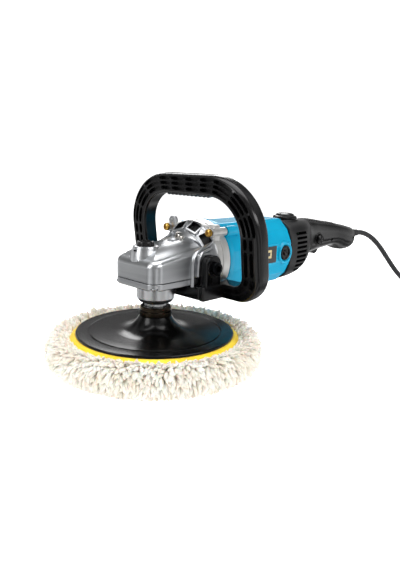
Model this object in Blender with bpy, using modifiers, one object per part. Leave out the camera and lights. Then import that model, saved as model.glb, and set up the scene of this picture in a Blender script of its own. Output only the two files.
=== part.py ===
"""Corded rotary polisher with a wool pad, built as separate pieces.

Metres, +Z up. The spindle is the Z axis and the pad's face lies at z = 0.
The motor runs along +X, from the gear head to the rear handle.
"""
import bpy
import bmesh
from math import asin, cos, pi, radians, sin, sqrt
from mathutils import Matrix, Vector

MM = 0.001
GAP = 0.3                     # clearance between pieces that touch
THRESHOLD = 0.00001           # merge distance, in metres

# ---- driving dimensions, in millimetres -------------------------------------
PAD_RADIUS = 116.0            # wool pad, over the pile
PAD_HEIGHT = 31.0             # wool rim above the polishing face
PAD_FLOOR = 12.0              # pile and backing under the foam
FOAM_RADIUS = 92.0            # yellow interface disc
FOAM_TOP = 30.2
PLATE_RADIUS = 84.8           # hard backing plate
PLATE_TOP = 33.2
HUB_TOP = 49.2                # top of the plate's raised hub
COLLAR_RADIUS = 17.3          # steel insert above the hub
COLLAR_TOP = 60.0
SPINDLE_RADIUS = 7.0          # M14 thread
JOURNAL_RADIUS = 8.5
BOX_RADIUS = 20.2             # bearing box under the gear head
BOX_BOTTOM = 64.8
BOX_WALL = 2.6
CASE_BOTTOM = 84.0            # underside of the gear case cover
CASE_SPLIT = 91.3             # joint between cover and gear housing
CASE_FRONT = -32.0
CASE_HALF_WIDTH = 33.0
CASE_CORNER = 12.0            # radius of the upright front corners
ROOF_EDGE = 7.0               # radius where the walls turn into the roof
CASE_REAR = 44.0
COVER_REAR = 40.1            # the cover stops in front of the drum
CASE_FRONT_TOP = 113.2        # roof height at the nose, at its front edge
CASE_ROOF_SLOPE = 0.150       # rise of the roof per unit towards the motor
MOTOR_Z = 105.0               # height of the motor's axis
GEAR_CENTRES = 29.0           # spindle to intermediate shaft
SPUR_MODULE = 1.0
SPINDLE_TEETH = 45
PINION_TEETH = 13
RING_TEETH = 30
BEVEL_TEETH = 10
TOOTH_SHARE = 0.42            # part of the pitch that a tooth fills, the rest is running clearance
FAN_CASE_RADIUS = 43.5        # drum of the gear housing around the fan
FAN_CASE_FRONT = 50.5
FAN_CASE_WALL = 3.6
RING_REAR = 70.0              # joint between gear housing and motor housing
SCREW_CIRCLE = 46.5           # four long screws around the motor axis
EAR_RADIUS = 6.0
HOUSING_REAR = 190.0          # joint between motor housing and rear housing
HOUSING_HALF_WIDTH = 40.5
HOUSING_HALF_HEIGHT = 40.0
FIELD_RADIUS = 35.5
ARMATURE_RADIUS = 20.8
STACK_FRONT = RING_REAR + 18.0
STACK_REAR = HOUSING_REAR - 42.0
BRUSH_X = HOUSING_REAR - 14.0
CAP_RADIUS = 9.2
LOUVRES = 9
GRIP_LENGTH = 142.0
HANDLE_FRONT = HOUSING_REAR + 72.0    # joint between rear housing and handle
HANDLE_REAR = HANDLE_FRONT + GRIP_LENGTH
HANDLE_TOP = MOTOR_Z + 35.0   # flat top of the rear housing, under the dial
SHELL_WALL = 3.0
LOOP_X = 65.0                 # loop handle plane at its lower arms
LOOP_LEAN = 7.5               # degrees, the loop leans towards the nose
LOOP_HALF_WIDTH = 98.5
LOOP_TOP = 200.0
LOOP_BOTTOM = 67.0
LOOP_BAR = 25.0               # width of the side bars
LOOP_TOP_BAR = 22.0
LOOP_ARM = 17.8               # height of the lower arms
LOOP_DEPTH = 20.0
LOOP_TOP_CORNER = 64.0
LOOP_LOW_CORNER = 33.0
LUG_REACH = 46.0              # outer faces of the loop's two lugs
LUG_THICKNESS = 9.0
ARM_INNER = 39.5              # where the lower arms stop beside the drum
BOLT_X = 42.0
BOLT_Z = 102.0
LOCK_X = -14.7                # shaft lock pin
DIAL_X = HOUSING_REAR + 40.0
DIAL_RADIUS = 16.0
TRIGGER_HINGE_X = HANDLE_FRONT + 22.0
TRIGGER_HINGE_Z = MOTOR_Z - 8.0
LOCK_ON_X = HANDLE_FRONT + 26.0
LOCK_ON_Z = MOTOR_Z + 5.5
CORD_Z = MOTOR_Z + 2.0
CORD_DIAMETER = 8.0
GUARD_END = HANDLE_REAR + 33.0
COIL_CENTRE = (GUARD_END + 175.0, -152.0)
COIL_RADIUS = 42.0
COIL_TURNS_WIDE = 3

# The lead's route where it isn't coiled, from the guard's end to the coil. X counts from the guard's end.
CORD_ROUTE = (
    (0.8, 0.0, CORD_Z), (14.0, -0.4, CORD_Z - 0.5), (28.0, -2.0, 103.4), (43.0, -5.0, 97.0), (57.0, -9.5, 87.0),
    (69.0, -15.0, 74.0), (79.5, -21.5, 59.0), (89.5, -29.0, 43.0), (101.0, -37.5, 27.5), (115.0, -47.0, 14.5),
    (131.0, -56.0, 6.6), (147.0, -64.0, 4.3), (161.0, -70.5, 4.3), (171.0, -79.0, 4.3), (175.0, -89.0, 4.3),
    (175.0, -97.4, 4.3),
)

# ---- helpers ------------------------------------------------------------------
for old in list(bpy.data.objects):
    bpy.data.objects.remove(old, do_unlink=True)

# Pieces with many cuts on one axis, where the exact solver leaves open edges.
MANY_CUTS = ("gear_housing", "motor_housing", "loop_handle")

PARTS = bpy.data.collections.new("rotary_polisher")
CUTTERS = bpy.data.collections.new("cutters")
bpy.context.scene.collection.children.link(PARTS)
bpy.context.scene.collection.children.link(CUTTERS)


def material(name, colour, roughness, metallic=0.0):
    """A plain Principled material."""
    mat = bpy.data.materials.new(name)
    mat.use_nodes = True
    shader = mat.node_tree.nodes["Principled BSDF"]
    shader.inputs["Base Color"].default_value = (*colour, 1.0)
    shader.inputs["Roughness"].default_value = roughness
    shader.inputs["Metallic"].default_value = metallic
    mat.diffuse_color = (*colour, 1.0)
    return mat


CAST = material("cast_aluminium", (0.72, 0.73, 0.75), 0.28, 1.0)
STEEL = material("ground_steel", (0.55, 0.56, 0.58), 0.3, 1.0)
DARK_STEEL = material("black_chromed_steel", (0.05, 0.045, 0.04), 0.18, 1.0)
BRASS = material("brass", (0.78, 0.56, 0.2), 0.3, 1.0)
COPPER = material("copper_winding", (0.65, 0.3, 0.12), 0.4, 1.0)
BLUE = material("blue_plastic", (0.0, 0.36, 0.66), 0.25)
BLACK = material("black_plastic", (0.015, 0.015, 0.017), 0.35)
RUBBER = material("black_rubber", (0.02, 0.02, 0.02), 0.7)
YELLOW = material("yellow_foam", (0.95, 0.75, 0.02), 0.6)
WOOL = material("white_wool", (0.9, 0.88, 0.84), 0.95)
CARBON = material("carbon", (0.05, 0.05, 0.05), 0.6)


def place(name, mesh, collection=None):
    """A new object for a mesh, in the parts unless told otherwise."""
    thing = bpy.data.objects.new(name, mesh)
    (collection or PARTS).objects.link(thing)
    return thing


def finish(thing, mat, angle=35.0):
    """Gives a piece its material and smooth round faces."""
    thing.data.materials.clear()
    thing.data.materials.append(mat)
    thing.data.shade_smooth()
    thing.data.set_sharp_from_angle(angle=radians(angle))
    return thing


def tool(thing):
    """Turns an object into a cutter that the build leaves out."""
    for collection in list(thing.users_collection):
        collection.objects.unlink(thing)
    CUTTERS.objects.link(thing)
    thing.hide_render = True
    thing.display_type = "WIRE"
    return thing


def boolean(target, other, operation):
    """Adds a Boolean with another object, which becomes a cutter."""
    modifier = target.modifiers.new(operation.lower(), "BOOLEAN")
    modifier.operation = operation
    modifier.solver = "MANIFOLD" if target.name in MANY_CUTS else "EXACT"
    modifier.object = tool(other)


def cut(target, *others):
    for other in others:
        boolean(target, other, "DIFFERENCE")


def join(target, *others):
    for other in others:
        boolean(target, other, "UNION")


def box(name, low, high, bevel=0.0, segments=2):
    """A block between two corners in millimetres, with rounded edges."""
    bm = bmesh.new()
    bmesh.ops.create_cube(bm, size=1.0)
    size = [(b - a) * MM for a, b in zip(low, high)]
    bmesh.ops.scale(bm, vec=size, verts=bm.verts)
    mesh = bpy.data.meshes.new(name)
    bm.to_mesh(mesh)
    bm.free()
    thing = place(name, mesh)
    thing.location = [(a + b) / 2 * MM for a, b in zip(low, high)]
    if bevel:
        modifier = thing.modifiers.new("bevel", "BEVEL")
        modifier.width = bevel * MM
        modifier.segments = segments
    return thing


def turned(name, profile, at=(0, 0, 0), axis="Z", steps=24):
    """A turned piece. The profile lists (radius, height) down its outer side."""
    mesh = bpy.data.meshes.new(name)
    points = [(r * MM, 0.0, h * MM) for r, h in profile]
    on_axis = profile[0][0] == 0 and profile[-1][0] == 0
    edges = [(i, i + 1) for i in range(len(points) - 1)]
    if not on_axis:
        edges.append((len(points) - 1, 0))
    mesh.from_pydata(points, edges, [])
    thing = place(name, mesh)
    screw = thing.modifiers.new("screw", "SCREW")
    screw.steps = steps
    screw.render_steps = steps
    screw.use_merge_vertices = True
    screw.merge_threshold = THRESHOLD
    turn = {
        "Z": Matrix.Identity(4),
        "X": Matrix.Rotation(pi / 2, 4, "Y"),
        "Y": Matrix.Rotation(-pi / 2, 4, "X"),
    }
    thing.matrix_world = Matrix.Translation(Vector(at) * MM) @ turn[axis]
    return thing


def rod(name, radius, start, end, at=(0, 0), axis="Z", steps=16):
    """A plain cylinder from start to end along an axis; at is its place across it."""
    profile = [(0, end), (radius, end), (radius, start), (0, start)]
    spot = {"Z": (at[0], at[1], 0), "X": (0, at[0], at[1]), "Y": (at[0], 0, at[1])}[axis]
    return turned(name, profile, spot, axis, steps)


def ring(name, outer, inner, start, end, at=(0, 0), axis="Z", steps=20):
    """A plain ring from start to end along an axis."""
    profile = [(outer, end), (outer, start), (inner, start), (inner, end)]
    spot = {"Z": (at[0], at[1], 0), "X": (0, at[0], at[1]), "Y": (at[0], 0, at[1])}[axis]
    return turned(name, profile, spot, axis, steps)


def to_mesh(thing):
    """Replaces a curve by a welded mesh object of the same name and place."""
    graph = bpy.context.evaluated_depsgraph_get()
    mesh = bpy.data.meshes.new_from_object(thing.evaluated_get(graph))
    bm = bmesh.new()
    bm.from_mesh(mesh)
    bmesh.ops.remove_doubles(bm, verts=bm.verts, dist=THRESHOLD)
    bm.to_mesh(mesh)
    bm.free()
    name = thing.name
    matrix = thing.matrix_world.copy()
    bpy.data.objects.remove(thing, do_unlink=True)
    solid = place(name, mesh)
    solid.matrix_world = matrix
    return solid


def slab(name, outline, thickness, matrix, round_edge=0.0):
    """A flat outline in millimetres, thickened both ways about its plane."""
    curve = bpy.data.curves.new(name, "CURVE")
    curve.dimensions = "2D"
    curve.fill_mode = "BOTH"
    curve.extrude = thickness / 2 * MM
    spline = curve.splines.new("POLY")
    spline.points.add(len(outline) - 1)
    for point, (u, v) in zip(spline.points, outline):
        point.co = (u * MM, v * MM, 0.0, 1.0)
    spline.use_cyclic_u = True
    thing = place(name, curve)
    thing.matrix_world = matrix
    bpy.context.view_layer.update()
    solid = to_mesh(thing)
    if round_edge:
        modifier = solid.modifiers.new("bevel", "BEVEL")
        modifier.width = round_edge * MM
        modifier.segments = 2
        modifier.limit_method = "ANGLE"
        modifier.angle_limit = radians(60)
    return solid


def arc(centre, radius, start, end, count):
    """Points on an arc, angles in degrees."""
    steps = [radians(start + (end - start) * i / (count - 1)) for i in range(count)]
    return [(centre[0] + radius * cos(a), centre[1] + radius * sin(a)) for a in steps]


def loft(name, sections):
    """A closed solid through rings of points that all have the same count."""
    bm = bmesh.new()
    rings = [[bm.verts.new(Vector(p) * MM) for p in section] for section in sections]
    count = len(rings[0])
    for first, second in zip(rings, rings[1:]):
        for i in range(count):
            j = (i + 1) % count
            bm.faces.new((first[i], first[j], second[j], second[i]))
    bm.faces.new(list(reversed(rings[0])))
    bm.faces.new(rings[-1])
    bmesh.ops.recalc_face_normals(bm, faces=bm.faces)
    mesh = bpy.data.meshes.new(name)
    bm.to_mesh(mesh)
    bm.free()
    return place(name, mesh)


def oval(x, half_width, low, high, power=2.8, count=24):
    """A rounded-box section across X."""
    middle = (low + high) / 2
    half_height = (high - low) / 2
    points = []
    for i in range(count):
        a = 2 * pi * i / count
        y = abs(cos(a)) ** (2 / power) * (1 if cos(a) >= 0 else -1)
        z = abs(sin(a)) ** (2 / power) * (1 if sin(a) >= 0 else -1)
        points.append((x, half_width * y, middle + half_height * z))
    return points


def gear_outline(teeth, pitch_radius, add, ded, share, phase=0.0):
    """Four points a tooth; share is the tooth's part of the pitch at its middle."""
    points = []
    step = 2 * pi / teeth
    for i in range(teeth):
        middle = phase + i * step
        for radius, width in ((pitch_radius - ded, 0.68), (pitch_radius + add, 0.34)):
            points.append((radius, middle - step * share * width))
        for radius, width in ((pitch_radius + add, 0.34), (pitch_radius - ded, 0.68)):
            points.append((radius, middle + step * share * width))
    return [(r * cos(a), r * sin(a)) for r, a in points]


def toothed(name, outline, start, end, scale=1.0):
    """A gear's outline drawn out along its own Z, tapering to scale at its end."""
    sections = [[(x, y, start) for x, y in outline], [(x * scale, y * scale, end) for x, y in outline]]
    return loft(name, sections)


# ---- pad and spindle ----------------------------------------------------------
def wool_pad():
    lip = FOAM_RADIUS + GAP + 0.3
    edge = PAD_RADIUS
    profile = [
        (0, PAD_FLOOR), (lip, PAD_FLOOR), (lip, 25.0), (edge - 17, PAD_HEIGHT - 1), (edge - 11, PAD_HEIGHT),
        (edge - 5, PAD_HEIGHT - 4), (edge - 1, 22.0), (edge, 15.5), (edge - 2, 7.0), (edge - 8, 1.4),
        (edge - 16, 0.0), (0, 0.0),
    ]
    pad = turned("wool_pad", profile, steps=32)
    return finish(pad, WOOL)


def foam_disc():
    rim = PLATE_RADIUS + 1.0
    profile = [
        (0, FOAM_TOP), (rim, FOAM_TOP), (FOAM_RADIUS, 25.5),
        (FOAM_RADIUS, PAD_FLOOR + GAP), (0, PAD_FLOOR + GAP),
    ]
    return finish(turned("foam_disc", profile, steps=36), YELLOW)


def backing_plate():
    low = FOAM_TOP + GAP
    bore = 11.0 + GAP
    profile = [
        (17.4, HUB_TOP), (20.0, 44.0), (25.5, 39.2), (34.0, 35.8), (45.0, PLATE_TOP + 0.1), (69.6, PLATE_TOP),
        (70.0, PLATE_TOP - 0.8), (71.2, PLATE_TOP - 0.8), (71.6, PLATE_TOP), (PLATE_RADIUS, PLATE_TOP),
        (PLATE_RADIUS, low), (bore, low), (bore, HUB_TOP),
    ]
    return finish(turned("backing_plate", profile, steps=36), BLACK)


def plate_insert():
    base = HUB_TOP + GAP
    bore = SPINDLE_RADIUS + GAP
    profile = [
        (15.4, COLLAR_TOP), (16.4, COLLAR_TOP - 1), (16.4, 56.4), (15.8, 56.0), (15.8, 55.2), (COLLAR_RADIUS, 54.8),
        (COLLAR_RADIUS, base + 0.6), (COLLAR_RADIUS - 0.6, base), (11.0, base), (11.0, FOAM_TOP + 2 * GAP),
        (bore, FOAM_TOP + 2 * GAP), (bore, COLLAR_TOP),
    ]
    return finish(turned("plate_insert", profile, steps=20), DARK_STEEL)


def spindle():
    profile = [
        (0, 110.0), (4.5, 110.0), (4.5, 101.5), (JOURNAL_RADIUS, 101.5), (JOURNAL_RADIUS, 63.4), (12.2, 63.0),
        (12.2, COLLAR_TOP + GAP), (SPINDLE_RADIUS, COLLAR_TOP + GAP), (SPINDLE_RADIUS, 36.0), (SPINDLE_RADIUS - 1, 35.0),
        (0, 35.0),
    ]
    return finish(turned("spindle", profile, steps=16), STEEL)


def spindle_gear():
    pitch = SPINDLE_TEETH * SPUR_MODULE / 2
    outline = gear_outline(SPINDLE_TEETH, pitch, 0.75, 1.15, TOOTH_SHARE)
    gear = toothed("spindle_gear", outline, 92.4, 99.6)
    cut(gear, rod("gear_bore", JOURNAL_RADIUS + GAP, 90, 103))
    for i in range(4):
        a = pi * i / 2
        hole = rod(f"lock_hole_{i}", 3.2, 90, 103, (LOCK_X * cos(a), LOCK_X * sin(a)), steps=8)
        cut(gear, hole)
    return finish(gear, STEEL)


def bearing(name, outer, inner, start, end, at=(0, 0), axis="Z"):
    """A sealed ball bearing, as one ring."""
    return finish(ring(name, outer, inner, start, end, at, axis, 16), STEEL)


def spindle_bearings():
    bearing("spindle_lower_bearing", BOX_RADIUS - BOX_WALL - GAP, JOURNAL_RADIUS + GAP, 70.3, 81.0)
    bearing("spindle_upper_bearing", 8.3 - GAP, 4.5 + GAP, 103.4, 109.6)
    seal = ring("spindle_seal", BOX_RADIUS - BOX_WALL - GAP, JOURNAL_RADIUS + GAP, 66.6 + GAP, 70.0, steps=24)
    finish(seal, RUBBER)


# ---- gear head ------------------------------------------------------------------
def case_corners():
    """Places of the four screws that hold the cover, as (x, y)."""
    reach = CASE_HALF_WIDTH - 5.4
    return [(x, y) for x in (CASE_FRONT + 5.4, COVER_REAR - 5.6) for y in (-reach, reach)]


def case_plan(inset=0.0, back=CASE_REAR):
    """Plan of the gear head, with rounded front corners, as (x, y)."""
    r = CASE_CORNER - inset
    front = CASE_FRONT + CASE_CORNER
    rear = back - inset
    w = CASE_HALF_WIDTH - CASE_CORNER
    side = CASE_HALF_WIDTH - inset
    return [(rear, side)] + arc((front, w), r, 90, 180, 5) + arc((front, -w), r, 180, 270, 5) + [(rear, -side)]


def gear_case_cover():
    top = CASE_SPLIT - GAP
    layers = ((CASE_BOTTOM, 2.4), (CASE_BOTTOM + 2.4, 0.0), (top, 0.0))
    rings = [[(x, y, z) for x, y in case_plan(inset, COVER_REAR)] for z, inset in layers]
    cover = loft("gear_case_cover", rings)
    outer = BOX_RADIUS
    profile = [(0, 86.0), (outer, 86.0), (outer, 69.0), (outer - 3, BOX_BOTTOM), (0, BOX_BOTTOM)]
    join(cover, turned("bearing_box_body", profile, steps=24))
    cut(cover, rod("box_bore", outer - BOX_WALL, 66.6, 82.4, steps=20))
    cut(cover, rod("box_mouth", 13.0, 60, 70))
    cut(cover, rod("box_top", 15.0, 80, 95))
    cut(cover, rod("pinion_pocket", 7.0, 86.5, 95, (GEAR_CENTRES, 0)))
    for i, (x, y) in enumerate(case_corners()):
        cut(cover, rod(f"cover_screw_hole_{i}", 2.4, 80, 95, (x, y), steps=8))
        cut(cover, rod(f"cover_screw_recess_{i}", 4.2, 80, 87.2, (x, y), steps=12))
        screw = screw_solid(f"cover_screw_{i + 1}", 3.6, 2.0, 84.6, 87.0, 98.0, (x, y))
        finish(screw, STEEL)
    return finish(cover, CAST)


def screw_solid(name, head, shank, bottom, seat, tip, at, axis="Z"):
    """A screw whose head is at bottom, with a socket in it, pointing along +axis."""
    profile = [
        (0, tip), (shank, tip), (shank, seat), (head, seat), (head, bottom), (head * 0.5, bottom),
        (head * 0.5, bottom + 1.4), (0, bottom + 1.4),
    ]
    spot = {"Z": (at[0], at[1], 0), "X": (0, at[0], at[1])}[axis]
    return turned(name, profile, spot, axis, 10)


def roof_height(x):
    """Height of the gear head's sloping roof at a place along X."""
    return CASE_FRONT_TOP + CASE_ROOF_SLOPE * (x - CASE_FRONT)


def gear_head_block():
    """Nose of the gear housing: upright walls and a sloping, rounded roof."""
    sections = [[(x, y, CASE_SPLIT) for x, y in case_plan()]]
    for i in range(4):
        a = i / 3 * pi / 2
        inset = ROOF_EDGE * (1 - cos(a))
        drop = ROOF_EDGE * (1 - sin(a))
        sections.append([(x, y, roof_height(x) - drop) for x, y in case_plan(inset)])
    return loft("gear_housing", sections)


def fan_drum():
    outer = FAN_CASE_RADIUS
    front = FAN_CASE_FRONT
    rear = RING_REAR - 2.0
    profile = [(0, rear), (outer - 0.2, rear), (outer - 0.2, front), (31.0, 40.5), (0, 40.5)]
    drum = turned("fan_drum", profile, (0, 0, MOTOR_Z), "X", 28)
    return drum


def ear_places():
    """Centres of the four long screws around the motor axis, as (y, z)."""
    r = SCREW_CIRCLE
    return [(r * cos(radians(a)), MOTOR_Z + r * sin(radians(a))) for a in (45, 135, 225, 315)]


def eared_flange(name, start, end):
    """A round flange with four rounded ears, across the motor axis."""
    outline = []
    for i in range(4):
        middle = radians(45 + 90 * i)
        spread = 0.999 * asin(EAR_RADIUS / SCREW_CIRCLE)
        for k in range(7):
            a = spread * (k / 3 - 1)
            reach = SCREW_CIRCLE * cos(a) + sqrt(EAR_RADIUS ** 2 - (SCREW_CIRCLE * sin(a)) ** 2)
            outline.append((reach * cos(middle + a), reach * sin(middle + a)))
        for k in range(5):
            a = spread + (pi / 2 - 2 * spread) * (k + 0.2) / 4.4
            outline.append((FAN_CASE_RADIUS * cos(middle + a), FAN_CASE_RADIUS * sin(middle + a)))
    return loft(name, [[(x, y, MOTOR_Z + z) for y, z in outline] for x in (start, end)])


def gear_housing():
    head = gear_head_block()
    join(head, fan_drum())
    join(head, eared_flange("drum_flange", FAN_CASE_FRONT + 0.4, RING_REAR))
    for i, (y, z) in enumerate(ear_places()):
        join(head, rod(f"flange_ear_{i}", EAR_RADIUS - 0.2, 46.0, 60.0, (y, z), "X", 12))
    for side in (-1, 1):
        ends = sorted((side * 20, side * 36.7))
        pad = box(f"lug_pad_{side}", (22, ends[0], CASE_SPLIT + 0.2), (50, ends[1], 118), 1.0, 1)
        join(head, pad)
    join(head, ring("lock_boss", 13.0, 9.6, 112.0, 126.0, (LOCK_X, 0), steps=20))
    join(head, rod("shaft_boss", 5.2, 112.0, 128.6, (24.0, 0), steps=20))
    fan_space = ring("fan_space", FAN_CASE_RADIUS - FAN_CASE_WALL, 18.0, 50.0, 80.0, (0, MOTOR_Z), "X", 28)
    cut(head, fan_space)
    cut(head, rod("fan_mouth", FAN_CASE_RADIUS - FAN_CASE_WALL, 61.0, 80.0, (0, MOTOR_Z), "X", 28))
    cut(head, rod("bearing_seat_front", 14.3, 50.5, 65.0, (0, MOTOR_Z), "X", 20))
    cut(head, rod("pinion_way", 7.0, 30.0, 52.0, (0, MOTOR_Z), "X", 20))
    cut(head, rod("gear_room", 24.9, 80.0, 102.6, steps=28))
    cut(head, rod("pinion_room", 9.0, 80.0, 108.0, (GEAR_CENTRES, 0)))
    cut(head, rod("ring_room", 17.6, 104.0, 114.0, (GEAR_CENTRES, 0), steps=20))
    cut(head, rod("upper_seat", 8.3, 95.0, 110.4, steps=20))
    cut(head, rod("shaft_seat", 7.3, 112.0, 119.4, (GEAR_CENTRES, 0), steps=20))
    cut(head, rod("lock_way", 2.7, 95.0, 124.0, (LOCK_X, 0), steps=12))
    cut(head, rod("lock_recess", 9.6, 119.5, 140.0, (LOCK_X, 0), steps=20))
    for i, angle in enumerate((-47, -16, 16, 47)):
        vent = box(f"vent_{i}", (36.0, -5.6, 33.4), (58.0, 5.6, 39.0))
        turn = Matrix.Rotation(radians(angle), 4, "X")
        vent.matrix_world = Matrix.Translation((0, 0, MOTOR_Z * MM)) @ turn @ vent.matrix_basis
        cut(head, vent)
    for i, (y, z) in enumerate(ear_places()):
        cut(head, rod(f"flange_hole_{i}", 2.5, 40.0, 80.0, (y, z), "X", 8))
    for i, (x, y) in enumerate(case_corners()):
        cut(head, rod(f"case_thread_{i}", 2.3, 80.0, 99.0, (x, y), steps=8))
    for side in (-1, 1):
        ends = sorted((side * 27, side * 50))
        cut(head, rod(f"lug_thread_{side}", 4.3, *ends, (BOLT_X, BOLT_Z), "Y", 16))
    return finish(head, CAST)


def intermediate_shaft():
    x = GEAR_CENTRES
    profile = [(0, 118.6), (4.0, 118.6), (4.0, 107.0), (4.6, 106.0), (4.6, 88.0), (0, 88.0)]
    shaft = turned("intermediate_shaft", profile, (x, 0, 0), steps=20)
    pitch = PINION_TEETH * SPUR_MODULE / 2
    step = 2 * pi / PINION_TEETH
    outline = gear_outline(PINION_TEETH, pitch, 0.75, 1.15, TOOTH_SHARE, pi + step / 2)
    pinion = toothed("pinion_teeth", outline, 92.0, 100.0)
    pinion.location = (x * MM, 0, 0)
    join(shaft, pinion)
    return finish(shaft, STEEL)


def bevel_ring_gear():
    """Crown wheel above the armature's pinion, its teeth facing down."""
    inner, outer, top = 4.9, 16.4, 113.0
    ratio = BEVEL_TEETH / RING_TEETH
    bm = bmesh.new()
    count = RING_TEETH * 4
    loops = []
    for i in range(count):
        a = 2 * pi * (i + 0.5) / count
        high = i % 4 in (0, 3)
        depth = -0.30 if high else 0.85
        column = []
        for r in (inner, outer):
            pitch = MOTOR_Z + r * ratio
            column.append((r * cos(a), r * sin(a), pitch + depth * r / 12.0))
        loops.append([
            (inner * cos(a), inner * sin(a), top), (outer * cos(a), outer * sin(a), top),
            column[1], column[0],
        ])
    rings = [[bm.verts.new(Vector(p) * MM) for p in loop] for loop in loops]
    for k in range(count):
        first, second = rings[k], rings[(k + 1) % count]
        for i in range(4):
            j = (i + 1) % 4
            bm.faces.new((first[i], first[j], second[j], second[i]))
    bmesh.ops.recalc_face_normals(bm, faces=bm.faces)
    mesh = bpy.data.meshes.new("bevel_ring_gear")
    bm.to_mesh(mesh)
    bm.free()
    gear = place("bevel_ring_gear", mesh)
    gear.location = (GEAR_CENTRES * MM, 0, 0)
    gear.rotation_euler.z = pi / RING_TEETH
    return finish(gear, STEEL)


def intermediate_bearings():
    at = (GEAR_CENTRES, 0)
    bearing("intermediate_upper_bearing", 7.0, 4.3, 113.4, 119.0, at)
    bearing("intermediate_lower_bearing", 6.7, 4.9, 86.8, 91.4, at)


def shaft_lock():
    cap = 9.2
    profile = [
        (0, 130.6), (4.0, 130.4), (cap - 2.4, 129.6), (cap - 0.6, 128.2), (cap, 126.6), (cap, 124.5), (2.3, 124.5),
        (2.3, 102.0), (1.6, 101.3), (0, 101.3),
    ]
    finish(turned("shaft_lock_button", profile, (LOCK_X, 0, 0), steps=20), BLACK)
    spring = ring("shaft_lock_spring", 5.2, 3.4, 119.8, 124.2, (LOCK_X, 0), steps=16)
    finish(spring, STEEL)


# ---- motor ----------------------------------------------------------------------
def armature():
    z = MOTOR_Z
    rear = HOUSING_REAR
    profile = [
        (0, rear + 6), (4.0, rear + 6), (4.0, rear - 4), (5.0, rear - 5), (5.0, 46.5), (3.4, 45.5), (3.4, 44.0), (0, 44.0),
    ]
    shaft = turned("armature_shaft", profile, (0, 0, z), "X", 16)
    ratio = BEVEL_TEETH / RING_TEETH
    near, far = 37.8 - GEAR_CENTRES, 45.6 - GEAR_CENTRES
    big = far * ratio
    add, ded = 0.30 * far / 12.0, 0.85 * far / 12.0
    outline = gear_outline(BEVEL_TEETH, big, add, ded, TOOTH_SHARE)
    pinion = toothed("bevel_teeth", outline, -far, -near, near / far)
    pinion.matrix_world = Matrix.Translation((GEAR_CENTRES * MM, 0, z * MM)) @ Matrix.Rotation(-pi / 2, 4, "Y")
    join(shaft, pinion)
    finish(shaft, STEEL)
    bearing("armature_front_bearing", 14.0, 5.3, 50.9, 59.6, (0, z), "X")
    bearing("armature_rear_bearing", 10.9, 4.3, rear - 3.4, rear + 3.6, (0, z), "X")
    core = [
        (ARMATURE_RADIUS - 4, STACK_REAR + 10), (ARMATURE_RADIUS - 4, STACK_REAR), (ARMATURE_RADIUS, STACK_REAR),
        (ARMATURE_RADIUS, STACK_FRONT), (ARMATURE_RADIUS - 4, STACK_FRONT), (ARMATURE_RADIUS - 4, STACK_FRONT - 9),
        (5.3, STACK_FRONT - 9), (5.3, STACK_REAR + 10),
    ]
    finish(turned("armature_core", core, (0, 0, z), "X", 20), COPPER)
    finish(ring("commutator", 13.0, 5.3, rear - 25, rear - 6, (0, z), "X", 20), COPPER)


def cooling_fan():
    hub = ring("cooling_fan", 12.0, 5.3, 61.0, 70.0, (0, MOTOR_Z), "X", 20)
    join(hub, ring("fan_disc", 35.0, 11.0, 68.0, 69.8, (0, MOTOR_Z), "X", 20))
    for i in range(11):
        blade = box(f"fan_blade_{i}", (61.5, -0.8, 14.0), (69.0, 0.8, 34.4))
        turn = Matrix.Rotation(2 * pi * i / 11, 4, "X")
        blade.matrix_world = Matrix.Translation((0, 0, MOTOR_Z * MM)) @ turn @ blade.matrix_basis
        join(hub, blade)
    return finish(hub, BLACK)


def field_and_baffle():
    z = MOTOR_Z
    field = [
        (32.0, STACK_REAR + 9), (32.0, STACK_REAR), (FIELD_RADIUS, STACK_REAR), (FIELD_RADIUS, STACK_FRONT),
        (32.0, STACK_FRONT), (32.0, STACK_FRONT - 9), (24.0, STACK_FRONT - 9), (21.6, STACK_FRONT),
        (21.6, STACK_REAR), (24.0, STACK_REAR + 9),
    ]
    finish(turned("field_core", field, (0, 0, z), "X", 20), STEEL)
    baffle = [(36.5, 74.0), (36.5, 71.6), (22.0, 71.6), (22.0, 73.6)]
    finish(turned("fan_baffle", baffle, (0, 0, z), "X", 20), BLACK)


def facets(half_width, half_height):
    """Twelve-cornered section of the motor housing, as (y, z) about its axis."""
    w, h = half_width, half_height
    quarter = [(w, h * 0.27), (w * 0.82, h * 0.68), (w * 0.50, h)]
    upper = quarter + [(-y, z) for y, z in reversed(quarter)]
    return upper + [(-y, -z) for y, z in upper]


def housing_prism(name, shrink, start, end):
    outline = facets(HOUSING_HALF_WIDTH - shrink, HOUSING_HALF_HEIGHT - shrink)
    return loft(name, [[(x, y, MOTOR_Z + z) for y, z in outline] for x in (start, end)])


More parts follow.
